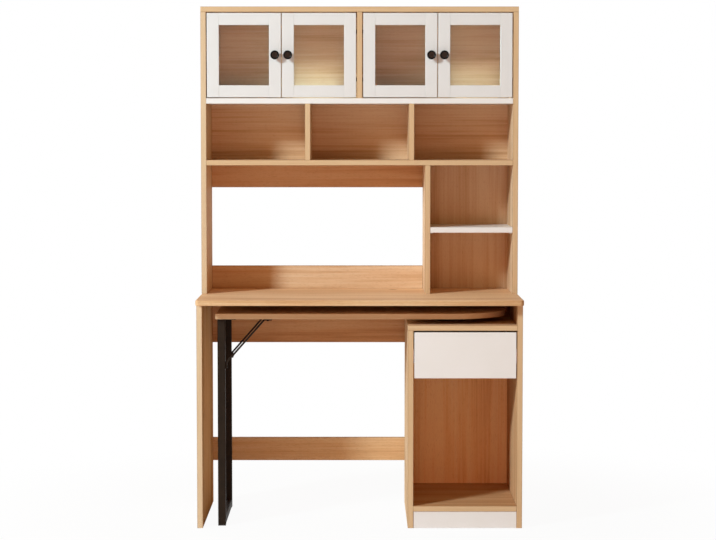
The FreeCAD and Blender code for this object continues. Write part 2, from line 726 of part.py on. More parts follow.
def hinge_heights():
    """The middle of a door's two hinges."""
    return ("door_foot + hinge_inset", "door_foot + door_height - hinge_inset")


def cup_x(number):
    """The middle of a door's hinge cups."""
    left = DOOR_LEFT_EDGES[number]
    return f"{left} + cup_offset" if number in LEFT_HINGED else f"{left} + door_width - cup_offset"


def knob_x(number):
    """The middle of a door's knob, on the stile away from the hinges."""
    left = DOOR_LEFT_EDGES[number]
    return f"{left} + door_width - stile / 2" if number in LEFT_HINGED else f"{left} + stile / 2"


def stile(number, at_left):
    """A door stile: full height, grooved for the glass, bored for its hinges or its knob."""
    edge = DOOR_LEFT_EDGES[number]
    left = edge if at_left else f"{edge} + door_width - stile"
    body = box((left, "hutch_front", "door_foot"), ("stile", "door_board", "door_height"))
    groove_x = f"{left} + stile - glass_groove" if at_left else left
    tools = [box((groove_x, "groove_front", "door_foot"), ("glass_groove", "groove_width", "door_height"))]
    if at_left == (number in LEFT_HINGED):
        tools += [rod((cup_x(number), "door_back - cup_depth", z), "cup_radius", "cup_depth", ALONG_Y)
                  for z in hinge_heights()]
    else:
        tools += [rod((knob_x(number), "hutch_front", "door_foot + door_height / 2"), "screw_radius",
                      "door_board", ALONG_Y)]
    return cut(body, tools)


def door_rail(number, foot, groove_foot):
    """A door rail with a tongue at each end and the glass groove along its inner edge."""
    left = DOOR_LEFT_EDGES[number]
    body = box((f"{left} + stile", "hutch_front", foot), ("rail_length", "door_board", "stile"))
    tongue_x = f"{left} + stile - glass_groove"
    tongue = box((tongue_x, "groove_front", foot), ("rail_tongue", "groove_width", "stile"))
    groove = box((tongue_x, "groove_front", groove_foot), ("rail_tongue", "groove_width", "glass_groove"))
    return cut(fuse([body, tongue]), [groove])


def door_frame(number):
    """Two stiles and two rails, joined by tongues that share the glass groove."""
    top_foot = "door_foot + door_height - stile"
    lower = door_rail(number, "door_foot", "door_foot + stile - glass_groove")
    upper = door_rail(number, top_foot, top_foot)
    return group([stile(number, True), stile(number, False), lower, upper])


def pane(number):
    """The glass, clear of its groove all round."""
    overlap = "(glass_groove - glass_play)"
    left = DOOR_LEFT_EDGES[number]
    corner = (f"{left} + stile - {overlap}", "groove_front + glass_play", f"door_foot + stile - {overlap}")
    size = (f"rail_length + 2 * {overlap}", "glass", f"door_height - 2 * stile + 2 * {overlap}")
    return box(corner, size)


def knob(number):
    """A turned knob with a dished face, and the bolt that holds it through the stile."""
    rim_foot = "knob_height - knob_rim"
    dish = "knob_height - knob_dish"
    section = [("screw_radius", "0"), ("knob_neck + knob_foot", "0"), ("knob_neck", "knob_foot"),
               ("knob_neck", f"({rim_foot}) / 2"), ("knob_radius", rim_foot),
               ("knob_radius", "knob_height"), ("knob_radius - knob_ring", "knob_height"),
               ("knob_radius - knob_ring - knob_dish", dish), ("0", dish),
               ("0", "knob_bolt_reach"), ("screw_radius", "knob_bolt_reach")]
    middle = "door_foot + door_height / 2"
    body = turned(section, (knob_x(number), "hutch_front", middle), TOWARDS_FRONT)
    rim = value_of("knob_radius")
    round_edges(body, body.Tip, lambda edge: edge.BoundBox.XLength > 2 * rim - TOLERANCE, "knob_round")
    bolt = screw((knob_x(number), "door_back", middle), TOWARDS_FRONT, "door_board + knob_bolt_reach")
    return group([body, bolt])


def hinge_cup(number, height):
    """A hinge cup, open at the back, with its flange and the link block that the arm carries."""
    middle = (cup_x(number), "door_back - cup_depth", height)
    barrel = rod(middle, "cup_radius", "cup_depth", ALONG_Y)
    flange_x = f"{cup_x(number)} - cup_radius"
    flange = box((flange_x, "door_back", f"{height} - cup_flange / 2"),
                 ("2 * cup_radius", "cup_wall", "cup_flange"))
    hollow = rod((cup_x(number), "door_back - cup_depth + cup_wall", height), "cup_radius - cup_wall",
                 "cup_depth", ALONG_Y)
    links = box((f"{cup_x(number)} - cup_radius + cup_wall", "door_back - cup_depth + cup_wall",
                 f"{height} - cup_link_height / 2"),
                ("2 * (cup_radius - cup_wall)", "cup_depth", "cup_link_height"))
    return fuse([cut(fuse([barrel, flange]), [hollow]), links])


def hinge_arm(number, height):
    """A cranked arm on the case, which reaches over to just behind the cup."""
    left_hinged = number in LEFT_HINGED
    way = "" if left_hinged else "-"
    face = f"{DOOR_LEFT_EDGES[number]} - door_gap" if left_hinged else \
        f"{DOOR_LEFT_EDGES[number]} + door_width + door_gap"
    reach = "door_gap + cup_offset + arm_nose / 2"
    section = [("0", "arm_nose"), (f"({reach} - arm_nose)", "0"), (reach, "0"), (reach, "arm_bar"),
               ("arm_bar", "arm_nose + arm_bar"), ("arm_bar", "arm_length"), ("0", "arm_length")]
    points = [(x if x == "0" else f"{way}({x})", y) for x, y in section]
    corner = (face, "door_back + cup_wall + moving_gap", f"{height} - arm_height / 2")
    return prism([points], "arm_height", corner)


def doors():
    """The four doors, and the hinge arms that stay on the case."""
    arms = []
    for number in DOOR_NUMBERS:
        node(door_frame(number), f"door_{number}_frame")
        node(pane(number), f"door_{number}_glass")
        node(knob(number), f"door_{number}_knob")
        cups = [hinge_cup(number, height) for height in hinge_heights()]
        node(group(cups), f"door_{number}_hinge_cups")
        arms += [hinge_arm(number, height) for height in hinge_heights()]
    node(group(arms), "hinge_arms")


# --- Building and writing --------------------------------------------------------------------


def check_document():
    """Stop if any object failed to build, or a sub-part has no valid shape."""
    for item in doc.Objects:
        if {"Invalid", "Error"} & set(item.State):
            raise RuntimeError(f"{item.Label} ({item.Name}) failed: {item.State}")
    for item in nodes:
        if item.Shape.isNull() or not item.Shape.isValid():
            raise RuntimeError(f"{item.Label} has no valid shape")


def write_steps():
    """Write each sub-part to a STEP file named after it."""
    os.makedirs("parts", exist_ok=True)
    for item in nodes:
        item.Shape.exportStep(f"parts/{item.Label}.step")
        corner = item.Shape.optimalBoundingBox(False)
        print(f"{item.Label:24} {len(item.Shape.Solids)} solids  x {corner.XMin:8.1f} {corner.XMax:8.1f}"
              f"  y {corner.YMin:8.1f} {corner.YMax:8.1f}  z {corner.ZMin:8.1f} {corner.ZMax:8.1f}")
    print(len(nodes), "sub-parts")


dims = make_sheet()
side_panels()
desktop()
lower_rails()
pedestal()
drawer()
swivel_top()
pivot()
leg()
leg_fittings()
hutch_shell()
hutch_shelves()
tower()
hutch_backs()
doors()
doc.recompute()
check_document()
write_steps()
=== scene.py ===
"""Dress the student desk: laminated boards, painted doors, clear glass, a black steel leg and its fittings.

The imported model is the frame. Every length is in metres, with +Z up and the front of the desk facing -Y.
"""
from __future__ import annotations

import json
import logging
import math
from dataclasses import dataclass, replace
from enum import Enum, IntEnum
from typing import ClassVar, Iterable, Sequence

import bmesh
import bpy
from bmesh.types import BMEdge, BMesh, BMFace, BMVert
from bpy.types import Material, Node, NodeSocket, NodeTree, Object
from mathutils import Euler, Matrix, Vector

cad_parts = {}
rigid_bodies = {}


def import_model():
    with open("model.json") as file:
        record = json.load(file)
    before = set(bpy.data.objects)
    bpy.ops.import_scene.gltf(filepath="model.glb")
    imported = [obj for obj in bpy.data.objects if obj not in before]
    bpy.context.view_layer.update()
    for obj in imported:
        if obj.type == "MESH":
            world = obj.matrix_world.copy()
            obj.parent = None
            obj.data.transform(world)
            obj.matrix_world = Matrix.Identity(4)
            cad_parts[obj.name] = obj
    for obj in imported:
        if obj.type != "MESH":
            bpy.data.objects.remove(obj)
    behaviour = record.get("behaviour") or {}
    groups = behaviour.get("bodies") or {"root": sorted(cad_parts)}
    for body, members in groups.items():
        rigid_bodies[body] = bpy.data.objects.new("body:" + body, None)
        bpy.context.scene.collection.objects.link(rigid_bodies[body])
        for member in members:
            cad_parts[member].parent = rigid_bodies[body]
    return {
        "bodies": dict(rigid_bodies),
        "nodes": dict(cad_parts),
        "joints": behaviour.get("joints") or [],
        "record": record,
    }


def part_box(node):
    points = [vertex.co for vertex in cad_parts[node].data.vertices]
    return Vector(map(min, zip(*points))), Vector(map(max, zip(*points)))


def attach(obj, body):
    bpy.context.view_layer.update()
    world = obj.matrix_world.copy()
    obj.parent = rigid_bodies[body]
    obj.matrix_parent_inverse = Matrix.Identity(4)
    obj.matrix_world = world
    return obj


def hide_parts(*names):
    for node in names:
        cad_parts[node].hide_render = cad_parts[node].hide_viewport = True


LOG = logging.getLogger("student_desk")

SAME_PLACE = 1e-6
FLAT = math.radians(0.5)
SHARP = math.radians(50)
NOISE_RANGE = (0.3, 0.7)
UP = Vector((0, 0, 1))
WHITE = (1.0, 1.0, 1.0, 1.0)
DOORS = (1, 2, 3, 4)


# --- Node trees ---


class NodeWork:
    """A node tree, with short calls for the nodes that the finishes and the studio share."""

    def __init__(self, tree: NodeTree) -> None:
        """Start with an empty tree."""
        self.tree = tree
        self.tree.nodes.clear()

    def add(self, kind: str, **settings: object) -> Node:
        """Add a node and set its properties.

        Args:
            kind: The node's type name.
            **settings: Properties of the node.

        Returns:
            The new node.
        """
        node = self.tree.nodes.new(kind)
        for setting, value in settings.items():
            setattr(node, setting, value)
        return node

    def join(self, start: NodeSocket, end: NodeSocket) -> None:
        """Link an output socket to an input socket."""
        self.tree.links.new(start, end)

    def place(self, turn: Euler = Euler(), shift: Sequence[float] = (0.0, 0.0, 0.0)) -> NodeSocket:
        """Object coordinates, turned and then moved.

        Args:
            turn: The rotation of the pattern.
            shift: Where the pattern starts, in metres.

        Returns:
            The socket of the mapped coordinates.
        """
        place = self.add("ShaderNodeTexCoord")
        mapping = self.add("ShaderNodeMapping")
        mapping.inputs["Rotation"].default_value = turn
        mapping.inputs["Location"].default_value = shift
        self.join(place.outputs["Object"], mapping.inputs["Vector"])
        return mapping.outputs["Vector"]

    def stretch(self, vector: NodeSocket, factors: Sequence[float]) -> NodeSocket:
        """Multiply a vector axis by axis.

        Args:
            vector: The vector's socket.
            factors: One factor for each axis.

        Returns:
            The socket of the product.
        """
        product = self.add("ShaderNodeVectorMath", operation="MULTIPLY")
        self.join(vector, product.inputs[0])
        product.inputs[1].default_value = factors
        return product.outputs["Vector"]

    def span(self, value: NodeSocket, source: tuple[float, float],
             target: tuple[float, float]) -> NodeSocket:
        """Map a range of values onto another, and hold it at the ends.

        Args:
            value: The value's socket.
            source: The two ends of the value's range.
            target: What they become.

        Returns:
            The socket of the mapped value.
        """
        spread = self.add("ShaderNodeMapRange", interpolation_type="SMOOTHSTEP")
        self.join(value, spread.inputs["Value"])
        spread.inputs["From Min"].default_value, spread.inputs["From Max"].default_value = source
        spread.inputs["To Min"].default_value, spread.inputs["To Max"].default_value = target
        return spread.outputs["Result"]

    def maths(self, operation: str, first: NodeSocket, second: NodeSocket | float) -> NodeSocket:
        """Combine a value with another value or a number.

        Args:
            operation: The Math node's operation.
            first: The first value's socket.
            second: The second value's socket, or a number.

        Returns:
            The socket of the result.
        """
        node = self.add("ShaderNodeMath", operation=operation)
        self.join(first, node.inputs[0])
        if isinstance(second, (int, float)):
            node.inputs[1].default_value = second
        else:
            self.join(second, node.inputs[1])
        return node.outputs["Value"]

    def total(self, *terms: tuple[NodeSocket, float]) -> NodeSocket:
        """Add up values by their shares.

        Args:
            *terms: The socket of each value, with what it is multiplied by.

        Returns:
            The socket of the sum.
        """
        result, *others = [self.maths("MULTIPLY", value, share) for value, share in terms]
        for other in others:
            result = self.maths("ADD", result, other)
        return result

    def ramp(self, value: NodeSocket, stops: Sequence[tuple[float, Colour]]) -> NodeSocket:
        """Colour a value by a ramp.

        Args:
            value: The value's socket.
            stops: Places from 0 to 1 with their colours.

        Returns:
            The socket of the colour.
        """
        node = self.add("ShaderNodeValToRGB")
        elements = node.color_ramp.elements
        for place, _ in stops[2:]:
            elements.new(place)
        for element, (place, colour) in zip(elements, stops):
            element.position = place
            element.color = colour.linear()
        self.join(value, node.inputs["Fac"])
        return node.outputs["Color"]

    def blend(self, share: NodeSocket, ground: NodeSocket, cover: Colour) -> NodeSocket:
        """Cover a colour with another.

        Args:
            share: How much the cover hides.
            ground: The socket of the colour below.
            cover: The colour above.

        Returns:
            The socket of the mixed colour.
        """
        node = self.add("ShaderNodeMix", data_type="RGBA")
        self.join(share, node.inputs["Factor"])
        self.join(ground, node.inputs[6])
        node.inputs[7].default_value = cover.linear()
        return node.outputs[2]

    def choose(self, share: NodeSocket, first: NodeSocket, second: NodeSocket) -> NodeSocket:
        """Mix two shaders.

        Args:
            share: How much of the second shader there is.
            first: The first shader's socket.
            second: The second shader's socket.

        Returns:
            The socket of the mixed shader.
        """
        choice = self.add("ShaderNodeMixShader")
        self.join(share, choice.inputs["Fac"])
        self.join(first, choice.inputs[1])
        self.join(second, choice.inputs[2])
        return choice.outputs["Shader"]


class NodeSheet(NodeWork):
    """A material's nodes, which end in a Principled shader."""

    def __init__(self, name: str) -> None:
        """Make the material with its shader and its output.

        Args:
            name: The material's name.
        """
        self.material: Material = bpy.data.materials.new(name)
        self.material.use_nodes = True
        super().__init__(self.material.node_tree)
        self.output = self.add("ShaderNodeOutputMaterial")
        self.shader = self.add("ShaderNodeBsdfPrincipled")
        self.join(self.shader.outputs["BSDF"], self.output.inputs["Surface"])

    def dress(self, tint: NodeSocket, shades: tuple[Colour, Colour], gloss: NodeSocket,
              roughness: tuple[float, float], ends: tuple[float, float] = NOISE_RANGE) -> None:
        """Give the shader its colour and roughness, each by a pattern.

        Args:
            tint: The pattern of the colour.
            shades: The colours where that pattern is low and high.
            gloss: The pattern of the roughness.
            roughness: The roughness where that pattern is low and high.
            ends: Where the colours end within the tint's range.
        """
        self.join(self.ramp(tint, list(zip(ends, shades))), self.shader.inputs["Base Color"])
        self.join(self.span(gloss, NOISE_RANGE, roughness), self.shader.inputs["Roughness"])

    def bump(self, height: NodeSocket, depth: float) -> None:
        """Raise the surface.

        Args:
            height: The height's socket, from 0 to 1.
            depth: How high 1 is, in metres.
        """
        node = self.add("ShaderNodeBump")
        node.inputs["Distance"].default_value = depth
        self.join(height, node.inputs["Height"])
        self.join(node.outputs["Normal"], self.shader.inputs["Normal"])

    def set(self, **values: float | tuple[float, ...]) -> None:
        """Set the shader's own sockets, with underscores for the blanks in their names."""
        for name, value in values.items():
            self.shader.inputs[name.replace("_", " ")].default_value = value


@dataclass(frozen=True)
class Colour:
    """A colour as a paint chart gives it, each part from 0 to 255."""

    red: float
    green: float
    blue: float

    def linear(self) -> tuple[float, float, float, float]:
        """The colour as linear light.

        Returns:
            Red, green and blue from 0 to 1, and full cover.
        """
        parts = [part / 255 for part in (self.red, self.green, self.blue)]
        light = [part / 12.92 if part <= 0.04045 else ((part + 0.055) / 1.055) ** 2.4 for part in parts]
        return light[0], light[1], light[2], 1.0


class Grain(Enum):
    """Which way a board's grain runs."""

    ALONG_X = "x"
    ALONG_Z = "z"

    def turn(self) -> Euler:
        """The rotation that brings the grain's direction onto the pattern's first axis.

        Returns:
            The rotation.
        """
        return Euler((0.0, math.radians(90), 0.0)) if self is Grain.ALONG_Z else Euler()


# --- Finishes ---


class Finish:
    """A finish makes its material once, and hands out the same one after that."""

    def name(self) -> str:
        """The material's name."""
        raise NotImplementedError

    def mix(self, sheet: NodeSheet) -> None:
        """Fill the node sheet."""
        raise NotImplementedError

    def material(self) -> Material:
        """Look the material up, or make it.

        Returns:
            The finish's material.
        """
        title = f"{self.name()}_finish"
        known = bpy.data.materials.get(title)
        if known is not None:
            return known
        sheet = NodeSheet(title)
        self.mix(sheet)
        return sheet.material


@dataclass(frozen=True)
class Pattern:
    """Noise: cells to a metre along each axis, octaves, and how strong the finer octaves are."""

    cells: tuple[float, float, float]
    octaves: float
    roughness: float = 0.5

    def lay(self, sheet: NodeSheet, place: NodeSocket, phase: NodeSocket | None = None) -> NodeSocket:
        """Lay the noise over some coordinates.

        Args:
            sheet: The node sheet.
            place: The socket of the coordinates.
            phase: The socket of a fourth coordinate, where the noise has one.

        Returns:
            The socket of the noise's value, from 0 to 1.
        """
        noise = sheet.add("ShaderNodeTexNoise")
        noise.inputs["Scale"].default_value = 1.0
        noise.inputs["Detail"].default_value = self.octaves
        noise.inputs["Roughness"].default_value = self.roughness
        sheet.join(sheet.stretch(place, self.cells), noise.inputs["Vector"])
        if phase is not None:
            noise.noise_dimensions = "4D"
            sheet.join(phase, noise.inputs["W"])
        return noise.outputs["Fac"]


def even(cells: float, octaves: float) -> Pattern:
    """A pattern that is alike along all three axes."""
    return Pattern((cells, cells, cells), octaves)


@dataclass(frozen=True)
class OakTone:
    """The colours of one print of the oak foil."""

    title: str
    dark: Colour
    middle: Colour
    pale: Colour
    pore: Colour


PLAIN_OAK = OakTone("plain", Colour(200, 157, 118), Colour(221, 184, 147), Colour(231, 202, 169),
                    Colour(178, 130, 92))
# Painted light: a paler print for the desktop's upper face, which the lamps light less than its front edge.
LIT_OAK = OakTone("light", Colour(217, 164, 119), Colour(239, 193, 148), Colour(250, 211, 171),
                    Colour(192, 137, 93))
# Painted shade: a darker print for the desktop's front edge and for faces in shade, the inner faces of the
# left side panel and the foot rail.
SHADED_OAK = OakTone("deep", Colour(199, 151, 106), Colour(219, 177, 132), Colour(229, 194, 153),
                   Colour(176, 125, 82))
# Painted light: a brighter, more orange print for the inner face of the pedestal's back, standing in for
# the warm light bounced round inside the pedestal.
WARM_SHADE_OAK = OakTone("amber", Colour(226, 167, 112), Colour(247, 195, 138), Colour(253, 211, 158),
                    Colour(203, 140, 89))
# Painted shade: a darker print for the pedestal floor and for the shaded faces of the right side panel, the
# modesty rail and the hutch's upper rail.
DEEP_SHADE_OAK = OakTone("umber", Colour(185, 134, 91), Colour(205, 157, 114), Colour(214, 173, 132),
                    Colour(165, 111, 70))


@dataclass(frozen=True)
class OakLaminate(Finish):
    """Straight-grained oak foil: broad drifts of colour, fine streaks, and pores that catch the light."""

    grain: Grain
    seed: int
    tone: OakTone = PLAIN_OAK
    sheen: float = 0.06
    knot: tuple[float, float, float] | None = None
    knot_colour: Colour = Colour(150, 96, 58)

    SEED_STEP: ClassVar = (0.37, 0.61, 0.23)
    DRIFT: ClassVar = Pattern((0.9, 9.0, 9.0), 2.0)
    DRIFT_SHARE: ClassVar = 0.4
    DRIFT_REACH: ClassVar = (-0.5, 0.5)
    STREAK: ClassVar = Pattern((3.0, 150.0, 150.0), 4.0, 0.6)
    STREAK_SHARE: ClassVar = 1.05
    STREAK_RANGE: ClassVar = (0.2, 0.8)
    LINE: ClassVar = Pattern((0.7, 48.0, 48.0), 1.0)
    LINE_SHARE: ClassVar = 0.26
    LINE_RANGE: ClassVar = (0.35, 0.65)
    WANDER: ClassVar = Pattern((1.6, 16.0, 16.0), 2.0)
    WANDER_REACH: ClassVar = 3.0
    START: ClassVar = 0.045
    SHADE_PLACES: ClassVar = (0.31, 0.61, 0.96)
    PORE: ClassVar = Pattern((70.0, 1500.0, 1500.0), 1.0)
    PORE_SHARE: ClassVar = 0.5
    PORE_RANGE: ClassVar = (0.6, 0.72)
    ROUGHNESS: ClassVar = (0.64, 0.56)
    RELIEF: ClassVar = 0.00006
    KNOT_SIZE: ClassVar = Vector((0.022, 0.018, 0.03))
    KNOT_SHARE: ClassVar = 0.85
    KNOT_RANGE: ClassVar = (0.15, 1.0)

    def name(self) -> str:
        """The material's name."""
        return f"oak_laminate_{self.tone.title}_{self.grain.value}_{self.seed}"

    def mix(self, sheet: NodeSheet) -> None:
        """Lay drifts, streaks, growth lines and pores over each other.

        Args:
            sheet: The node sheet to fill.
        """
        shift = [step * self.seed for step in self.SEED_STEP]
        along = sheet.place(self.grain.turn(), shift)
        drift = sheet.span(self.DRIFT.lay(sheet, along), NOISE_RANGE, self.DRIFT_REACH)
        streak = self.STREAK.lay(sheet, along)
        line = self.growth_lines(sheet, along)
        depth = sheet.total((drift, self.DRIFT_SHARE), (streak, self.STREAK_SHARE),
                            (line, self.LINE_SHARE))
        depth = sheet.maths("ADD", depth, self.START)
        shades = (self.tone.dark, self.tone.middle, self.tone.pale)
        colour = sheet.ramp(depth, list(zip(self.SHADE_PLACES, shades)))
        pores = sheet.span(self.PORE.lay(sheet, along), self.PORE_RANGE, (0.0, self.PORE_SHARE))
        colour = sheet.blend(pores, colour, self.tone.pore)
        if self.knot is not None:
            colour = sheet.blend(self.knot_shape(sheet), colour, self.knot_colour)
        sheet.join(colour, sheet.shader.inputs["Base Color"])
        roughness = sheet.span(streak, self.STREAK_RANGE, self.ROUGHNESS)
        sheet.join(roughness, sheet.shader.inputs["Roughness"])
        sheet.bump(sheet.maths("SUBTRACT", streak, pores), self.RELIEF)
        sheet.set(Specular_IOR_Level=self.sheen)

    def growth_lines(self, sheet: NodeSheet, along: NodeSocket) -> NodeSocket:
        """Wavering darker lines, about a centimetre apart.

        Args:
            sheet: The node sheet.
            along: Coordinates whose first axis follows the grain.

        Returns:
            The socket of the lines' value, from 0 to 1.
        """
        wander = sheet.maths("MULTIPLY", self.WANDER.lay(sheet, along), self.WANDER_REACH)
        return sheet.span(self.LINE.lay(sheet, along, wander), self.LINE_RANGE, (0.0, 1.0))

    def knot_shape(self, sheet: NodeSheet) -> NodeSocket:
        """A small oval knot, darkest in its middle.

        Args:
            sheet: The node sheet.

        Returns:
            The socket of the knot's strength.
        """
        spread = [1 / size for size in self.KNOT_SIZE]
        away = sheet.add("ShaderNodeVectorMath", operation="SUBTRACT")
        sheet.join(sheet.place(), away.inputs[0])
        away.inputs[1].default_value = self.knot
        length = sheet.add("ShaderNodeVectorMath", operation="LENGTH")
        sheet.join(sheet.stretch(away.outputs["Vector"], spread), length.inputs[0])
        return sheet.span(length.outputs["Value"], self.KNOT_RANGE, (self.KNOT_SHARE, 0.0))


@dataclass(frozen=True)
class Strip(Finish):
    """A strip along a board's edge, its drifts and streaks running with the grain."""

    title: str
    dark: Colour
    pale: Colour
    drift: Pattern
    streak: Pattern
    shift: tuple[float, float, float]
    roughness: tuple[float, float]
    relief: float
    sheen: float
    drift_share: float = 0.45
    grain: Grain = Grain.ALONG_X

    def name(self) -> str:
        """The material's name."""
        return f"{self.title}_{self.grain.value}"

    def mix(self, sheet: NodeSheet) -> None:
        """Lay faint streaks along the strip.

        Args:
            sheet: The node sheet to fill.
        """
        along = sheet.place(self.grain.turn(), self.shift)
        streak = self.streak.lay(sheet, along)
        tone = sheet.total((self.drift.lay(sheet, along), self.drift_share),
                           (streak, 1.0 - self.drift_share))
        sheet.dress(tone, (self.dark, self.pale), streak, self.roughness)
        sheet.bump(streak, self.relief)
        sheet.set(Specular_IOR_Level=self.sheen)


# The plastic band glued round a board's narrow faces, printed paler and plainer than the foil.
EDGE_BAND = Strip("oak_edge_band_plain", Colour(209, 172, 132), Colour(222, 191, 152),
                  Pattern((2.5, 20.0, 20.0), 2.0), Pattern((5.0, 260.0, 260.0), 3.0),
                  (0.11, 0.07, 0.19), (0.54, 0.48), 0.00003, sheen=0.1)
# Painted light: a paler band for the front edges of the left-hand boards, which the lamp at the left lights
# more.
LIT_EDGE_BAND = replace(EDGE_BAND, title="oak_edge_band_pale", dark=Colour(211, 180, 145),
                         pale=Colour(225, 199, 165))

# The brown line where a board's edge band meets its foil, darkened further as painted shade in the joints
# between boards. It comes and goes.
GLUE_AND_SHADE_FLECK = Pattern((30.0, 300.0, 300.0), 2.0)
GLUE_AND_SHADE_LINE = Strip("glue_and_shade_line", Colour(134, 92, 58), Colour(160, 116, 78), GLUE_AND_SHADE_FLECK, GLUE_AND_SHADE_FLECK,
                  (0.05, 0.13, 0.31), (0.7, 0.6), 0.00002, sheen=0.05)


@dataclass(frozen=True)
class DrawerLaminate(Finish):
    """Pale linen-look melamine inside the drawer."""

    pale: Colour = Colour(226, 218, 206)
    deep: Colour = Colour(210, 200, 186)

    WARP: ClassVar = Pattern((40.0, 900.0, 900.0), 1.0)
    WEFT: ClassVar = Pattern((900.0, 40.0, 40.0), 1.0)
    THREAD_RANGE: ClassVar = (0.35, 0.65)
    ROUGHNESS: ClassVar = (0.5, 0.58)
    RELIEF: ClassVar = 0.00003

    def name(self) -> str:
        """The material's name."""
        return "drawer_laminate"

    def mix(self, sheet: NodeSheet) -> None:
        """Cross fine threads in two directions.

        Args:
            sheet: The node sheet to fill.
        """
        place = sheet.place()
        thread = sheet.total((self.WARP.lay(sheet, place), 0.5), (self.WEFT.lay(sheet, place), 0.5))
        sheet.dress(thread, (self.deep, self.pale), thread, self.ROUGHNESS, self.THREAD_RANGE)
        sheet.bump(thread, self.RELIEF)


@dataclass(frozen=True)
class ClearGlass(Finish):
    """Clear float glass with the faintest green, which lets the lamps through."""

    tint: Colour = Colour(250, 253, 250)
    shade: Colour = Colour(246, 249, 246)
    bending: float = 1.3

    FILM: ClassVar = even(9.0, 2.0)

    def name(self) -> str:
        """The material's name."""
        return "clear_glass"

    def mix(self, sheet: NodeSheet) -> None:
        """Refract what is seen, and let the light of lamps pass straight.

        Args:
            sheet: The node sheet to fill.
        """
        film = self.FILM.lay(sheet, sheet.place())
        colour = sheet.ramp(film, list(zip(NOISE_RANGE, (self.shade, self.tint))))
        sheet.join(colour, sheet.shader.inputs["Base Color"])
        sheet.set(Transmission_Weight=1.0, Roughness=0.0, IOR=self.bending)
        path = sheet.add("ShaderNodeLightPath")
        passing = sheet.add("ShaderNodeBsdfTransparent")
        passing.inputs["Color"].default_value = self.shade.linear()
        pane = sheet.choose(path.outputs["Is Shadow Ray"], sheet.shader.outputs["BSDF"],
                            passing.outputs["BSDF"])
        sheet.join(pane, sheet.output.inputs["Surface"])


@dataclass(frozen=True)
class Coat(Finish):
    """A coat that one pattern clouds, and to which a finer one gives its skin."""

    title: str
    pale: Colour
    deep: Colour
    cloud: Pattern
    skin: Pattern
    roughness: tuple[float, float]
    relief: float
    specular: float = 0.5
    metallic: float = 0.0
    gloss: Pattern | None = None

    def name(self) -> str:
        """The material's name."""
        return self.title

    def mix(self, sheet: NodeSheet) -> None:
        """Cloud the colour, vary the gloss, and raise the skin.

        Args:
            sheet: The node sheet to fill.
        """
        place = sheet.place()
        skin = self.skin.lay(sheet, place)
        gloss = self.gloss.lay(sheet, place) if self.gloss else skin
        sheet.dress(self.cloud.lay(sheet, place), (self.deep, self.pale), gloss, self.roughness)
        sheet.bump(skin, self.relief)
        sheet.set(Specular_IOR_Level=self.specular, Metallic=self.metallic)


# Warm white sprayed lacquer with a faint orange peel, for the door frames.
WHITE_LACQUER = Coat("white_lacquer", Colour(226, 225, 225), Colour(224, 223, 223), even(14.0, 3.0),
                     even(900.0, 2.0), (0.34, 0.4), 0.00002, specular=0.4, gloss=even(14.0, 3.0))

# White melamine with a fine pearl texture, for the plain white boards.
WHITE_LAMINATE = Coat("white_laminate", Colour(238, 235, 234), Colour(236, 233, 231), even(11.0, 3.0),
                      even(1400.0, 1.0), (0.42, 0.5), 0.00003, specular=0.35)

# Matt black powder coat with a fine sand texture, for the leg.
POWDER_COAT = Coat("black_powder_coat", Colour(42, 31, 22), Colour(32, 24, 17), even(25.0, 2.0),
                   even(1500.0, 2.0), (0.5, 0.62), 0.00006, specular=0.1)

# Glossy black enamel over the cast knobs; the dish of their faces is painted brown, a painted reflection of
# the warm surroundings.
BLACK_ENAMEL = Coat("black_enamel_rim", Colour(14, 11, 10), Colour(9, 7, 6), even(160.0, 2.0),
                    even(160.0, 2.0), (0.2, 0.28), 0.00005, specular=0.12)
DISH_REFLECTION_ENAMEL = replace(BLACK_ENAMEL, title="black_enamel_dish", pale=Colour(52, 35, 26),
                        deep=Colour(34, 23, 17))

# Bare and plated steel, brushed along one axis.
ZINC = Coat("zinc_steel", Colour(206, 208, 210), Colour(176, 180, 184), even(70.0, 3.0),
            Pattern((60.0, 1200.0, 1200.0), 2.0), (0.26, 0.38), 0.00001, metallic=1.0)
NICKEL = Coat("nickel_plate", Colour(214, 210, 202), Colour(190, 186, 178), even(70.0, 3.0),
              Pattern((1200.0, 60.0, 1200.0), 2.0), (0.18, 0.28), 0.00001, metallic=1.0)

# Moulded plastic with a spark-eroded skin, for the glides and the thrust washer.
BLACK_PLASTIC = Coat("black_plastic", Colour(44, 43, 42), Colour(32, 31, 30), even(50.0, 2.0),
                     even(2200.0, 1.0), (0.42, 0.52), 0.00002)
WHITE_NYLON = replace(BLACK_PLASTIC, title="white_nylon", pale=Colour(232, 230, 224),
                      deep=Colour(220, 217, 209))


# --- Mesh work ---


def solids(shape: BMesh) -> list[list[BMFace]]:
    """Sort a shape's faces by the solid they belong to.

    Args:
        shape: The shape, with its doubles merged.

    Returns:
        The faces of each solid, in the same order every time. Solids that only touch stay apart.
    """
    left = dict.fromkeys(shape.faces)
    found = []
    while left:
        group = [left.popitem()[0]]
        for face in group:
            for edge in face.edges:
                near = [other for other in edge.link_faces if other in left]
                if len(edge.link_faces) == 2 and near:
                    del left[near[0]]
                    group.append(near[0])
        found.append(group)
    return found


def ease_edges(shape: BMesh, width: float, segments: int = 2, shortest: float = 0.01) -> None:
    """Round a shape's outer edges.

    Args:
        shape: The shape to change.
        width: How far the rounding reaches over each face.
        segments: How many strips it has.
        shortest: Edges shorter than this are left sharp.
    """
    outer = [edge for edge in shape.edges
             if edge.is_manifold and edge.is_convex and edge.calc_face_angle() > SHARP
             and edge.calc_length() > shortest]
    bmesh.ops.bevel(shape, geom=outer, offset=width, offset_type="OFFSET", segments=segments,
                    profile=0.5, affect="EDGES", material=-1, clamp_overlap=True)


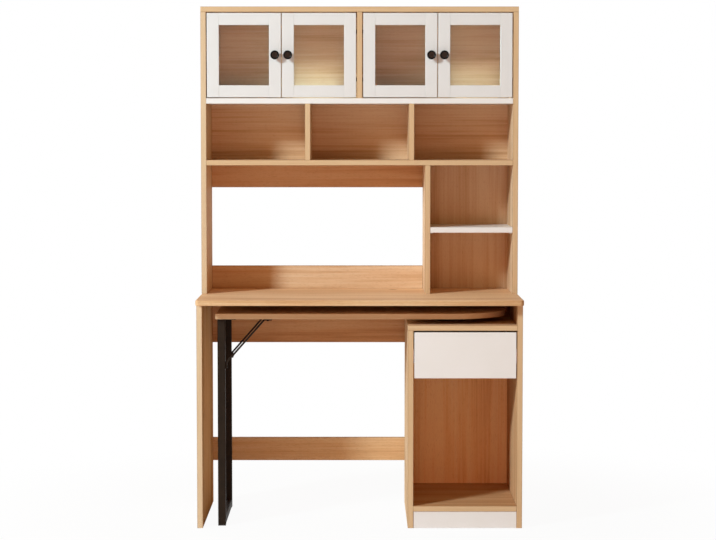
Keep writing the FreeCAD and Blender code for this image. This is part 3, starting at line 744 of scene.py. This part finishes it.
def spin_profile(shape: BMesh, profile: Sequence[tuple[float, float]], steps: int) -> None:
    """Turn a profile round the Z axis, as on a lathe.

    Args:
        shape: The shape that the turned faces join.
        profile: Radius and height of each point.
        steps: How many strips go round.
    """
    points = [shape.verts.new((radius, 0.0, height)) for radius, height in profile]
    edges = [shape.edges.new(pair) for pair in zip(points, points[1:])]
    bmesh.ops.spin(shape, geom=points + edges, cent=(0, 0, 0), axis=(0, 0, 1), angle=math.tau,
                   steps=steps, use_merge=True)
    bmesh.ops.remove_doubles(shape, verts=shape.verts, dist=SAME_PLACE)


def fix(target: BMesh, source: BMesh, place: Vector, outward: Vector) -> None:
    """Bring a shape from the origin to its place on another shape, and join the two.

    Args:
        target: The shape that grows.
        source: The shape to bring, which is used up.
        place: Where its origin goes.
        outward: Where its Z axis points then.
    """
    turn = UP.rotation_difference(outward).to_matrix().to_4x4()
    bmesh.ops.transform(source, matrix=Matrix.Translation(place) @ turn, verts=source.verts)
    carrier = bpy.data.meshes.new("carrier")
    source.to_mesh(carrier)
    source.free()
    target.from_mesh(carrier)
    bpy.data.meshes.remove(carrier)


def open_rims(shape: BMesh, height: float) -> list[BMEdge]:
    """The open edges that lie at a height."""
    return [edge for edge in shape.edges if edge.is_boundary
            and all(abs(vert.co.z - height) < SAME_PLACE for vert in edge.verts)]


def box_of(points: Iterable[Vector]) -> tuple[Vector, Vector]:
    """Find the box round some points.

    Args:
        points: The points.

    Returns:
        The lowest and the highest corner.
    """
    known = list(points)
    low = Vector([min(point[axis] for point in known) for axis in range(3)])
    high = Vector([max(point[axis] for point in known) for axis in range(3)])
    return low, high


class Workshop:
    """Hands out the frame's shapes, and puts finished pieces on the bodies that carry them."""

    def __init__(self, frame: dict) -> None:
        """Note where each node belongs.
        """
        self.nodes: dict[str, Object] = frame["nodes"]
        record = frame["record"]
        bodies = record["behaviour"]["bodies"]
        self.body_of = {node: body for body, members in bodies.items() for node in members}
        self.slot_of = {part["node"]: part["material_slot"] for part in record["subparts"]}
        self.replaced: set[str] = set()

    def shape(self, node: str) -> BMesh:
        """A merged copy of a node, each of its solids a shell of its own.

        Args:
            node: The node's name.

        Returns:
            The copy, its flat faces joined.
        """
        shape = bmesh.new()
        shape.from_mesh(self.nodes[node].data)
        bmesh.ops.remove_doubles(shape, verts=shape.verts, dist=SAME_PLACE)
        for group in solids(shape)[1:]:
            bmesh.ops.split(shape, geom=group)
        bmesh.ops.dissolve_limit(shape, angle_limit=FLAT, verts=shape.verts, edges=shape.edges)
        return shape

    def place(self, node: str, suffix: str, shape: BMesh, finishes: Sequence[Finish]) -> None:
        """Make a piece of a shape, and let it stand for a node.

        Args:
            node: The node that it replaces, whose body it takes.
            suffix: What is added to the node's name for the piece.
            shape: The piece's shape, which is used up.
            finishes: Its finishes, in the order of its material indices.
        """
        for edge in shape.edges:
            edge.smooth = len(edge.link_faces) != 2 or edge.calc_face_angle() < SHARP
        for face in shape.faces:
            face.smooth = True
        name = f"{node}_{suffix}"
        mesh = bpy.data.meshes.new(name)
        shape.to_mesh(mesh)
        shape.free()
        for finish in finishes:
            mesh.materials.append(finish.material())
        piece = bpy.data.objects.new(name, mesh)
        bpy.context.scene.collection.objects.link(piece)
        weighting = piece.modifiers.new("even_shading", "WEIGHTED_NORMAL")
        weighting.keep_sharp = True
        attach(piece, self.body_of[node])
        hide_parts(node)
        self.replaced.add(node)
        LOG.info("placed %s on %s, %d faces", name, self.body_of[node], len(mesh.polygons))

    def finish_node(self, node: str, finish: Finish) -> None:
        """Keep a node's own shape, and give it a finish.

        Args:
            node: The node's name.
            finish: Its finish.
        """
        self.nodes[node].data.materials.clear()
        self.nodes[node].data.materials.append(finish.material())
        LOG.info("finished %s", node)


# --- Sub-assemblies ---


class Facing(Enum):
    """What a board is covered with."""

    OAK = "oak"
    WHITE = "white"
    DRAWER = "drawer"


class Cover(IntEnum):
    """The material index of each part of an oak board."""

    OUTSIDE = 0
    RIM = 1
    INSIDE = 2
    GLUE_AND_SHADE = 3


class Rim(Enum):
    """What covers an oak board's narrow faces."""

    BAND = "band"
    # Painted light: the paler band of the left-hand boards.
    LIT_BAND = "pale band"
    # Painted shade: the foil wraps the edge in the shaded print.
    FOIL = "foil"


@dataclass(frozen=True)
class Board:
    """One board, or a set of alike boards: its node, its covering, its grain and its shine."""

    node: str
    grain: Grain = Grain.ALONG_X
    seed: int = 1
    facing: Facing = Facing.OAK
    tone: OakTone = PLAIN_OAK
    # The inside print, where a board has one, is painted shade on the faces towards the middle of the desk.
    inside: OakTone | None = None
    rim: Rim = Rim.BAND
    sheen: float = 0.06
    knot: tuple[float, float, float] | None = None
    ready_round: bool = False

    def finishes(self) -> list[Finish]:
        """Choose the board's finishes.

        Returns:
            One for all of a plain board, or those of an oak board in the order of Cover.
        """
        if self.facing is Facing.WHITE:
            return [WHITE_LAMINATE]
        if self.facing is Facing.DRAWER:
            return [DrawerLaminate()]
        rims = {
            Rim.BAND: replace(EDGE_BAND, grain=self.grain),
            Rim.LIT_BAND: replace(LIT_EDGE_BAND, grain=self.grain),
            Rim.FOIL: OakLaminate(self.grain, self.seed, SHADED_OAK),
        }
        faces = OakLaminate(self.grain, self.seed, self.tone, self.sheen, self.knot)
        inner = OakLaminate(self.grain, self.seed, self.inside or self.tone, self.sheen, self.knot)
        return [faces, rims[self.rim], inner, replace(GLUE_AND_SHADE_LINE, grain=self.grain)]


@dataclass
class BoardWork:
    """What every sub-assembly of boards does: ease each board's edges, and face it."""

    easing: float = 0.0008
    rim_lean: float = 0.7
    line_lean: tuple[float, float] = (0.1, 0.99)
    boards: tuple[Board, ...] = ()

    def build(self, shop: Workshop) -> None:
        """Make the sub-assembly's boards.

        Args:
            shop: The workshop.
        """
        for board in self.boards:
            self.lay(shop, board)

    def lay(self, shop: Workshop, board: Board) -> None:
        """Make one board.

        Args:
            shop: The workshop.
            board: The board to make.
        """
        shape = shop.shape(board.node)
        if not board.ready_round:
            ease_edges(shape, self.easing)
        if board.facing is Facing.OAK:
            for group in solids(shape):
                low, high = box_of(vert.co for face in group for vert in face.verts)
                thickness = min(range(3), key=lambda axis: high[axis] - low[axis])
                middle = (low[thickness] + high[thickness]) / 2
                for face in group:
                    lean = face.normal[thickness]
                    # The bevel strips take the glue line with its painted joint shade.
                    if not board.ready_round and self.line_lean[0] < abs(lean) < self.line_lean[1]:
                        face.material_index = Cover.GLUE_AND_SHADE
                    elif abs(lean) < self.rim_lean:
                        face.material_index = Cover.RIM
                    else:
                        face.material_index = Cover.INSIDE if lean * middle < 0 else Cover.OUTSIDE
        shop.place(board.node, "faced", shape, board.finishes())


@dataclass
class Carcass(BoardWork):
    """The side panels, the desktop and the two rails behind the knees."""

    boards: tuple[Board, ...] = (
        Board("left_side_panel", Grain.ALONG_Z, 1, inside=SHADED_OAK, rim=Rim.LIT_BAND, sheen=0.0),
        Board("right_side_panel", Grain.ALONG_Z, 2, inside=DEEP_SHADE_OAK, sheen=0.0),
        # The desktop's top wears the painted-light print, and its foil-wrapped front edge the painted-shade
        # print.
        Board("desktop", Grain.ALONG_X, 3, tone=LIT_OAK, rim=Rim.FOIL, sheen=0.1,
              knot=(0.1145, 0.196, 0.75), ready_round=True),
        Board("modesty_rail", Grain.ALONG_X, 4, inside=DEEP_SHADE_OAK),
        Board("foot_rail", Grain.ALONG_X, 5, inside=SHADED_OAK),
    )


@dataclass
class Pedestal(BoardWork):
    """The drawer pedestal: its panel, top, floor, back and white kickboard."""

    boards: tuple[Board, ...] = (
        Board("pedestal_left_panel", Grain.ALONG_Z, 6, sheen=0.0),
        Board("pedestal_top", Grain.ALONG_X, 7, sheen=0.0),
        Board("pedestal_floor_board", Grain.ALONG_X, 8, tone=DEEP_SHADE_OAK, sheen=0.0),
        Board("pedestal_back", Grain.ALONG_Z, 9, inside=WARM_SHADE_OAK),
        Board("kickboard", facing=Facing.WHITE),
    )


@dataclass
class Drawer(BoardWork):
    """The drawer: its white front, and the pale box behind it."""

    easing: float = 0.001
    boards: tuple[Board, ...] = (
        Board("drawer_front", facing=Facing.WHITE),
        Board("drawer_left_side", facing=Facing.DRAWER),
        Board("drawer_right_side", facing=Facing.DRAWER),
        Board("drawer_back", facing=Facing.DRAWER),
        Board("drawer_bottom", facing=Facing.DRAWER),
    )


@dataclass
class Hutch(BoardWork):
    """The hutch: sides, top, shelves, dividers, thin backs and the rails across its open back."""

    boards: tuple[Board, ...] = (
        Board("hutch_left_side", Grain.ALONG_Z, 10, rim=Rim.LIT_BAND),
        Board("hutch_right_side", Grain.ALONG_Z, 11),
        Board("hutch_top", Grain.ALONG_X, 12),
        Board("long_shelf", Grain.ALONG_X, 13),
        Board("door_divider", Grain.ALONG_Z, 14),
        Board("cubby_dividers", Grain.ALONG_Z, 15),
        Board("tower_divider", Grain.ALONG_Z, 16),
        Board("upper_back", Grain.ALONG_X, 17),
        Board("tower_back", Grain.ALONG_Z, 18),
        Board("hutch_upper_rail", Grain.ALONG_X, 19, inside=DEEP_SHADE_OAK),
        Board("hutch_lower_rail", Grain.ALONG_X, 24),
        Board("door_shelf", facing=Facing.WHITE),
        Board("tower_shelf", facing=Facing.WHITE),
    )


@dataclass(frozen=True)
class ButtonScrew:
    """A button-headed screw with a hexagonal socket."""

    shank: float = 0.002
    head: float = 0.004
    crown: float = 0.0025
    socket: float = 0.0014
    socket_depth: float = 0.0013
    steps: int = 24

    HEAD_OUTLINE: ClassVar = ((1.0, 0.0), (1.0, 0.3), (0.9, 0.65), (0.75, 0.9), (0.62, 1.0))

    def shape(self, grip: float) -> BMesh:
        """A screw at the origin, its head up and its shank down.

        Args:
            grip: The shank's length.

        Returns:
            The screw's closed shape.
        """
        shape = bmesh.new()
        profile = [(self.shank, -grip), (self.shank, 0.0)]
        profile += [(radius * self.head, height * self.crown) for radius, height in self.HEAD_OUTLINE]
        spin_profile(shape, profile, self.steps)
        rim = open_rims(shape, self.crown)
        hexagon = bmesh.ops.create_circle(shape, cap_ends=False, segments=6, radius=self.socket,
                                          matrix=Matrix.Translation((0, 0, self.crown)))["verts"]
        mouth = list(dict.fromkeys(edge for vert in hexagon for edge in vert.link_edges))
        bmesh.ops.bridge_loops(shape, edges=rim + mouth)
        walls = bmesh.ops.extrude_edge_only(shape, edges=mouth)["geom"]
        floor = [item for item in walls if isinstance(item, BMVert)]
        bmesh.ops.translate(shape, vec=(0, 0, -self.socket_depth), verts=floor)
        bmesh.ops.edgeloop_fill(shape, edges=open_rims(shape, self.crown - self.socket_depth))
        bmesh.ops.edgeloop_fill(shape, edges=open_rims(shape, -grip))
        bmesh.ops.recalc_face_normals(shape, faces=shape.faces)
        return shape


@dataclass(frozen=True)
class WeldBead:
    """A straight bead of weld, half sunk in the corner that it fills."""

    radius: float = 0.0015
    waist: float = 0.0012
    pitch: float = 0.0016
    ripple_places: tuple[float, float, float] = (0.1, 0.5, 0.9)
    steps: int = 12

    def shape(self, length: float) -> BMesh:
        """A rippled bead along the Z axis, from the origin up.

        Args:
            length: How long the bead is.

        Returns:
            The bead's closed shape.
        """
        ripples = round(length / self.pitch)
        rise = length / ripples
        profile = [(0.0, 0.0)]
        for ripple in range(ripples):
            for place, radius in zip(self.ripple_places, (self.waist, self.radius, self.waist)):
                profile.append((radius, (ripple + place) * rise))
        shape = bmesh.new()
        spin_profile(shape, profile + [(0.0, length)], self.steps)
        bmesh.ops.recalc_face_normals(shape, faces=shape.faces)
        return shape


@dataclass
class SwivelLeaf(BoardWork):
    """The lower top that swings out, with its steel leg, braces and screws."""

    boards: tuple[Board, ...] = (Board("swivel_top", Grain.ALONG_X, 21, ready_round=True),)
    tube_round: float = 0.002
    tube_segments: int = 4
    bar_round: float = 0.0006
    tube_edge: float = 0.05
    screw: ButtonScrew = ButtonScrew()
    head_reach: float = 0.003
    bead: WeldBead = WeldBead()

    def build(self, shop: Workshop) -> None:
        """Make the top, the leg and its fastenings.

        Args:
            shop: The workshop.
        """
        super().build(shop)
        for node in ("leg_front_post", "leg_rear_post", "leg_floor_rail"):
            shape = shop.shape(node)
            ease_edges(shape, self.tube_round, self.tube_segments, self.tube_edge)
            if node == "leg_floor_rail":
                low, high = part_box(node)
                for end in (low.y, high.y):
                    self.weld(shape, Vector((low.x, end, high.z)), Vector((high.x, end, high.z)))
            shop.place(node, "coated", shape, [POWDER_COAT])
        for node in ("leg_top_plate", "leg_braces"):
            shape = shop.shape(node)
            ease_edges(shape, self.bar_round)
            if node == "leg_top_plate":
                self.weld_posts(shape)
            shop.place(node, "coated", shape, [POWDER_COAT])
        self.drive_screws(shop)

    def weld(self, shape: BMesh, start: Vector, end: Vector) -> None:
        """Lay a bead of weld on a shape.

        Args:
            shape: The shape that the bead joins.
            start: Where the bead starts.
            end: Where it ends.
        """
        fix(shape, self.bead.shape((end - start).length), start, end - start)

    def weld_posts(self, shape: BMesh) -> None:
        """Weld both posts to the plate, on the two sides of each that stay clear of the plate's edge.

        Args:
            shape: The plate's shape.
        """
        for post in ("leg_front_post", "leg_rear_post"):
            low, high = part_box(post)
            inner = high.y if high.y < 0 else low.y
            self.weld(shape, Vector((low.x, inner, high.z)), Vector((high.x, inner, high.z)))
            self.weld(shape, Vector((high.x, low.y, high.z)), Vector((high.x, high.y, high.z)))

    def drive_screws(self, shop: Workshop) -> None:
        """Put a screw where the frame has one, its head on the same side.

        Args:
            shop: The workshop.
        """
        source = shop.shape("swivel_screws")
        screws = bmesh.new()
        for group in solids(source):
            points = [vert.co.copy() for face in group for vert in face.verts]
            low, high = box_of(points)
            axis = max(range(3), key=lambda way: high[way] - low[way])
            middle = (low + high) / 2
            wide = [point[axis] for point in points
                    if max(abs(point[way] - middle[way]) for way in range(3) if way != axis)
                    > self.head_reach]
            head_low = min(wide) - low[axis] < high[axis] - max(wide)
            outward = Vector((0, 0, 0))
            outward[axis] = -1 if head_low else 1
            seat = middle.copy()
            seat[axis] = low[axis] + self.screw.crown if head_low else high[axis] - self.screw.crown
            grip = high[axis] - low[axis] - self.screw.crown
            fix(screws, self.screw.shape(grip), seat, outward)
        source.free()
        shop.place("swivel_screws", "turned", screws, [POWDER_COAT])


@dataclass
class GlazedDoor:
    """A door: a white frame of stiles and rails, a clear pane, its knob and its hinge cups."""

    number: int
    easing: float = 0.0009
    knob_radius: float = 0.015
    knob_height: float = 0.024
    knob_steps: int = 48
    dish_height: float = 0.85
    dish_radius: float = 0.66
    bolt: ButtonScrew = ButtonScrew()
    cup_easing: float = 0.0004

    BOLT: ClassVar = 1
    DISH: ClassVar = 2
    KNOB_OUTLINE: ClassVar = (
        (0.0, 0.0), (0.53, 0.0), (0.53, 0.02), (0.45, 0.07), (0.405, 0.15), (0.4, 0.3), (0.46, 0.44),
        (0.61, 0.56), (0.82, 0.66), (0.95, 0.73), (1.0, 0.81), (1.0, 0.9), (0.965, 0.965), (0.9, 1.0),
        (0.82, 1.0), (0.74, 0.965), (0.66, 0.915), (0.56, 0.9), (0.3, 0.905), (0.0, 0.91))

    def build(self, shop: Workshop) -> None:
        """Make the frame, glaze it, and hang its fittings.

        Args:
            shop: The workshop.
        """
        frame = f"door_{self.number}_frame"
        shape = shop.shape(frame)
        ease_edges(shape, self.easing)
        shop.place(frame, "lacquered", shape, [WHITE_LACQUER])
        shop.finish_node(f"door_{self.number}_glass", ClearGlass())
        self.turn_knob(shop)
        cups = f"door_{self.number}_hinge_cups"
        shape = shop.shape(cups)
        ease_edges(shape, self.cup_easing)
        shop.place(cups, "plated", shape, [NICKEL])

    def turn_knob(self, shop: Workshop) -> None:
        """Turn the knob on the lathe, and bolt it through the stile.

        Args:
            shop: The workshop.
        """
        node = f"door_{self.number}_knob"
        low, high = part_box(node)
        across = (low.x + high.x) / 2
        middle = (low.z + high.z) / 2
        knob = bmesh.new()
        spin_profile(knob, [(radius * self.knob_radius, height * self.knob_height)
                            for radius, height in self.KNOB_OUTLINE], self.knob_steps)
        bmesh.ops.recalc_face_normals(knob, faces=knob.faces)
        # Faces in the dish take the brown of the painted reflection.
        for face in knob.faces:
            spot = face.calc_center_median()
            high_up = spot.z > self.dish_height * self.knob_height
            if high_up and spot.xy.length < self.dish_radius * self.knob_radius:
                face.material_index = self.DISH
        stile = low.y + self.knob_height
        seat = high.y - self.bolt.crown
        bolt = self.bolt.shape(seat - stile)
        for face in bolt.faces:
            face.material_index = self.BOLT
        shape = bmesh.new()
        fix(shape, knob, Vector((across, stile, middle)), Vector((0, -1, 0)))
        fix(shape, bolt, Vector((across, seat, middle)), Vector((0, 1, 0)))
        shop.place(node, "turned", shape, [BLACK_ENAMEL, ZINC, DISH_REFLECTION_ENAMEL])


@dataclass
class Hardware:
    """The fittings that keep the frame's own shapes: runners, pivot, pins, glides and hinge arms."""

    arm_easing: float = 0.0005
    arm_edge: float = 0.005
    arm_screw: ButtonScrew = ButtonScrew()
    arm_grip: float = 0.006
    arm_seats: tuple[float, float] = (0.008, 0.024)

    def build(self, shop: Workshop) -> None:
        """Screw down the hinge arms, and finish every node that is left.

        Args:
            shop: The workshop.
        """
        shape = shop.shape("hinge_arms")
        arms = [[vert.co.copy() for face in group for vert in face.verts] for group in solids(shape)]
        ease_edges(shape, self.arm_easing, shortest=self.arm_edge)
        for arm in arms:
            self.screw_arm(shape, arm)
        shop.place("hinge_arms", "plated", shape, [NICKEL])
        finishes = {"zinc_steel": ZINC, "nickel_hinge": NICKEL, "black_plastic": BLACK_PLASTIC,
                    "white_nylon": WHITE_NYLON, "black_steel": POWDER_COAT, "clear_glass": ClearGlass()}
        for node in sorted(set(shop.nodes) - shop.replaced):
            shop.finish_node(node, finishes[shop.slot_of[node]])

    def screw_arm(self, shape: BMesh, arm: Sequence[Vector]) -> None:
        """Put two screws into an arm's flat end, their heads away from the panel.

        Args:
            shape: The shape that the screws join.
            arm: The arm's points.
        """
        low, high = box_of(arm)
        flat_low, flat_high = box_of(point for point in arm if point.y > high.y - SAME_PLACE)
        inward = 1 if flat_low.x - low.x < SAME_PLACE else -1
        face = flat_high.x if inward > 0 else flat_low.x
        for back in self.arm_seats:
            seat = Vector((face, high.y - back, (low.z + high.z) / 2))
            fix(shape, self.arm_screw.shape(self.arm_grip), seat, Vector((inward, 0, 0)))


# --- Studio ---


@dataclass(frozen=True)
class Lamp:
    """A round soft box: where it hangs, what it points at, its power in watts, and if gloss mirrors it."""

    name: str
    place: tuple[float, float, float]
    target: tuple[float, float, float]
    power: float
    size: float
    colour: tuple[float, float, float] = (1.0, 1.0, 1.0)
    mirrored: bool = True

    def hang(self) -> None:
        """Put the lamp into the scene."""
        lamp = bpy.data.lights.new(self.name, "AREA")
        lamp.shape = "DISK"
        lamp.size = self.size
        lamp.energy = self.power
        lamp.color = self.colour
        holder = bpy.data.objects.new(self.name, lamp)
        holder.location = self.place
        holder.visible_glossy = self.mirrored
        aim = Vector(self.target) - Vector(self.place)
        holder.rotation_euler = aim.to_track_quat("-Z", "Y").to_euler()
        bpy.context.scene.collection.objects.link(holder)


@dataclass
class Studio:
    """A white floor without an end, soft lamps and a camera in front."""

    lamps: tuple[Lamp, ...] = (
        Lamp("key_lamp", (-5.12, -4.84, 4.15), (0.0, 0.015, 0.85), 548.0, 1.2, (0.78, 0.95, 1.0)),
        Lamp("low_lamp", (0.0, -5.5, 0.45), (0.0, 0.0, 0.7), 35.0, 1.2, (1.0, 0.47, 0.35)),
        Lamp("rear_lamp", (-2.4, 4.2, 1.5), (0.0, 0.015, 0.9), 80.0, 2.0, mirrored=False),
    )
    ambient: tuple[float, float, float] = (0.273, 0.145, 0.055)
    floor_reach: float = 20.0
    shadow_share: float = 0.05
    shadow_near: float = 0.7
    shadow_far: float = 1.8
    floor_grey: float = 0.82
    floor_roughness: float = 0.9
    camera_place: tuple[float, float, float] = (-0.0054, -6.9068, 1.2794)
    camera_dip: float = 3.7189
    camera_lens: float = 103.93
    camera_sensor: float = 36.0

    def build(self) -> None:
        """Set up the floor, the world, the lamps and the camera."""
        self.lay_floor()
        self.light_world()
        for lamp in self.lamps:
            lamp.hang()
        self.set_camera()
        bpy.context.scene.view_settings.view_transform = "Standard"

    def white_rays(self, nodes: NodeWork) -> NodeSocket:
        """Tell rays that see the white from those that a surface scattered, which only bring light.

        Args:
            nodes: The nodes that need the value.

        Returns:
            The socket of 1 for rays straight from the camera, a gloss or a glass, else 0.
        """
        path = nodes.add("ShaderNodeLightPath")
        seen = path.outputs["Is Camera Ray"]
        for name in ("Is Glossy Ray", "Is Transmission Ray"):
            seen = nodes.maths("MAXIMUM", seen, path.outputs[name])
        unscattered = nodes.maths("LESS_THAN", path.outputs["Diffuse Depth"], 0.5)
        return nodes.maths("MULTIPLY", seen, unscattered)

    def lay_floor(self) -> None:
        """A floor that is white to the camera, and holds the desk's faint shadow near it."""
        shape = bmesh.new()
        bmesh.ops.create_grid(shape, x_segments=1, y_segments=1, size=self.floor_reach)
        mesh = bpy.data.meshes.new("studio_floor")
        shape.to_mesh(mesh)
        shape.free()
        floor = bpy.data.objects.new("studio_floor", mesh)
        bpy.context.scene.collection.objects.link(floor)
        sheet = NodeSheet("studio_floor_paint")
        mesh.materials.append(sheet.material)
        sheet.set(Roughness=self.floor_roughness, Specular_IOR_Level=0.0)
        sheet.set(Base_Color=(self.floor_grey, self.floor_grey, self.floor_grey, 1.0))
        glow = sheet.add("ShaderNodeEmission")
        away = sheet.add("ShaderNodeVectorMath", operation="LENGTH")
        sheet.join(sheet.place(), away.inputs[0])
        share = sheet.span(away.outputs["Value"], (self.shadow_near, self.shadow_far),
                           (1.0 - self.shadow_share, 1.0))
        share = sheet.maths("MULTIPLY", share, self.white_rays(sheet))
        paint = sheet.choose(share, sheet.shader.outputs["BSDF"], glow.outputs["Emission"])
        sheet.join(paint, sheet.output.inputs["Surface"])

    def light_world(self) -> None:
        """An even sky: white where it is seen, dimmer where it only gives light."""
        world = bpy.data.worlds.new("studio_world")
        world.use_nodes = True
        nodes = NodeWork(world.node_tree)
        output = nodes.add("ShaderNodeOutputWorld")
        seen = nodes.add("ShaderNodeBackground")
        seen.inputs["Color"].default_value = WHITE
        light = nodes.add("ShaderNodeBackground")
        light.inputs["Color"].default_value = (*self.ambient, 1.0)
        sky = nodes.choose(self.white_rays(nodes), light.outputs["Background"], seen.outputs["Background"])
        nodes.join(sky, output.inputs["Surface"])
        bpy.context.scene.world = world

    def set_camera(self) -> None:
        """A level-headed camera in front, dipped a little."""
        camera = bpy.data.cameras.new("studio_camera")
        camera.lens = self.camera_lens
        camera.sensor_width = self.camera_sensor
        holder = bpy.data.objects.new("studio_camera", camera)
        holder.location = self.camera_place
        holder.rotation_euler = (math.radians(90.0 - self.camera_dip), 0.0, 0.0)
        bpy.context.scene.collection.objects.link(holder)
        bpy.context.scene.camera = holder


def main() -> None:
    """Build the desk from its lower case up, and light it."""
    logging.basicConfig(level=logging.INFO, format="%(message)s")
    shop = Workshop(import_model())
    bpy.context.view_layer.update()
    Carcass().build(shop)
    Pedestal().build(shop)
    Drawer().build(shop)
    SwivelLeaf().build(shop)
    Hutch().build(shop)
    for number in DOORS:
        GlazedDoor(number).build(shop)
    Hardware().build(shop)
    Studio().build()


if __name__ == "__main__":
    main()
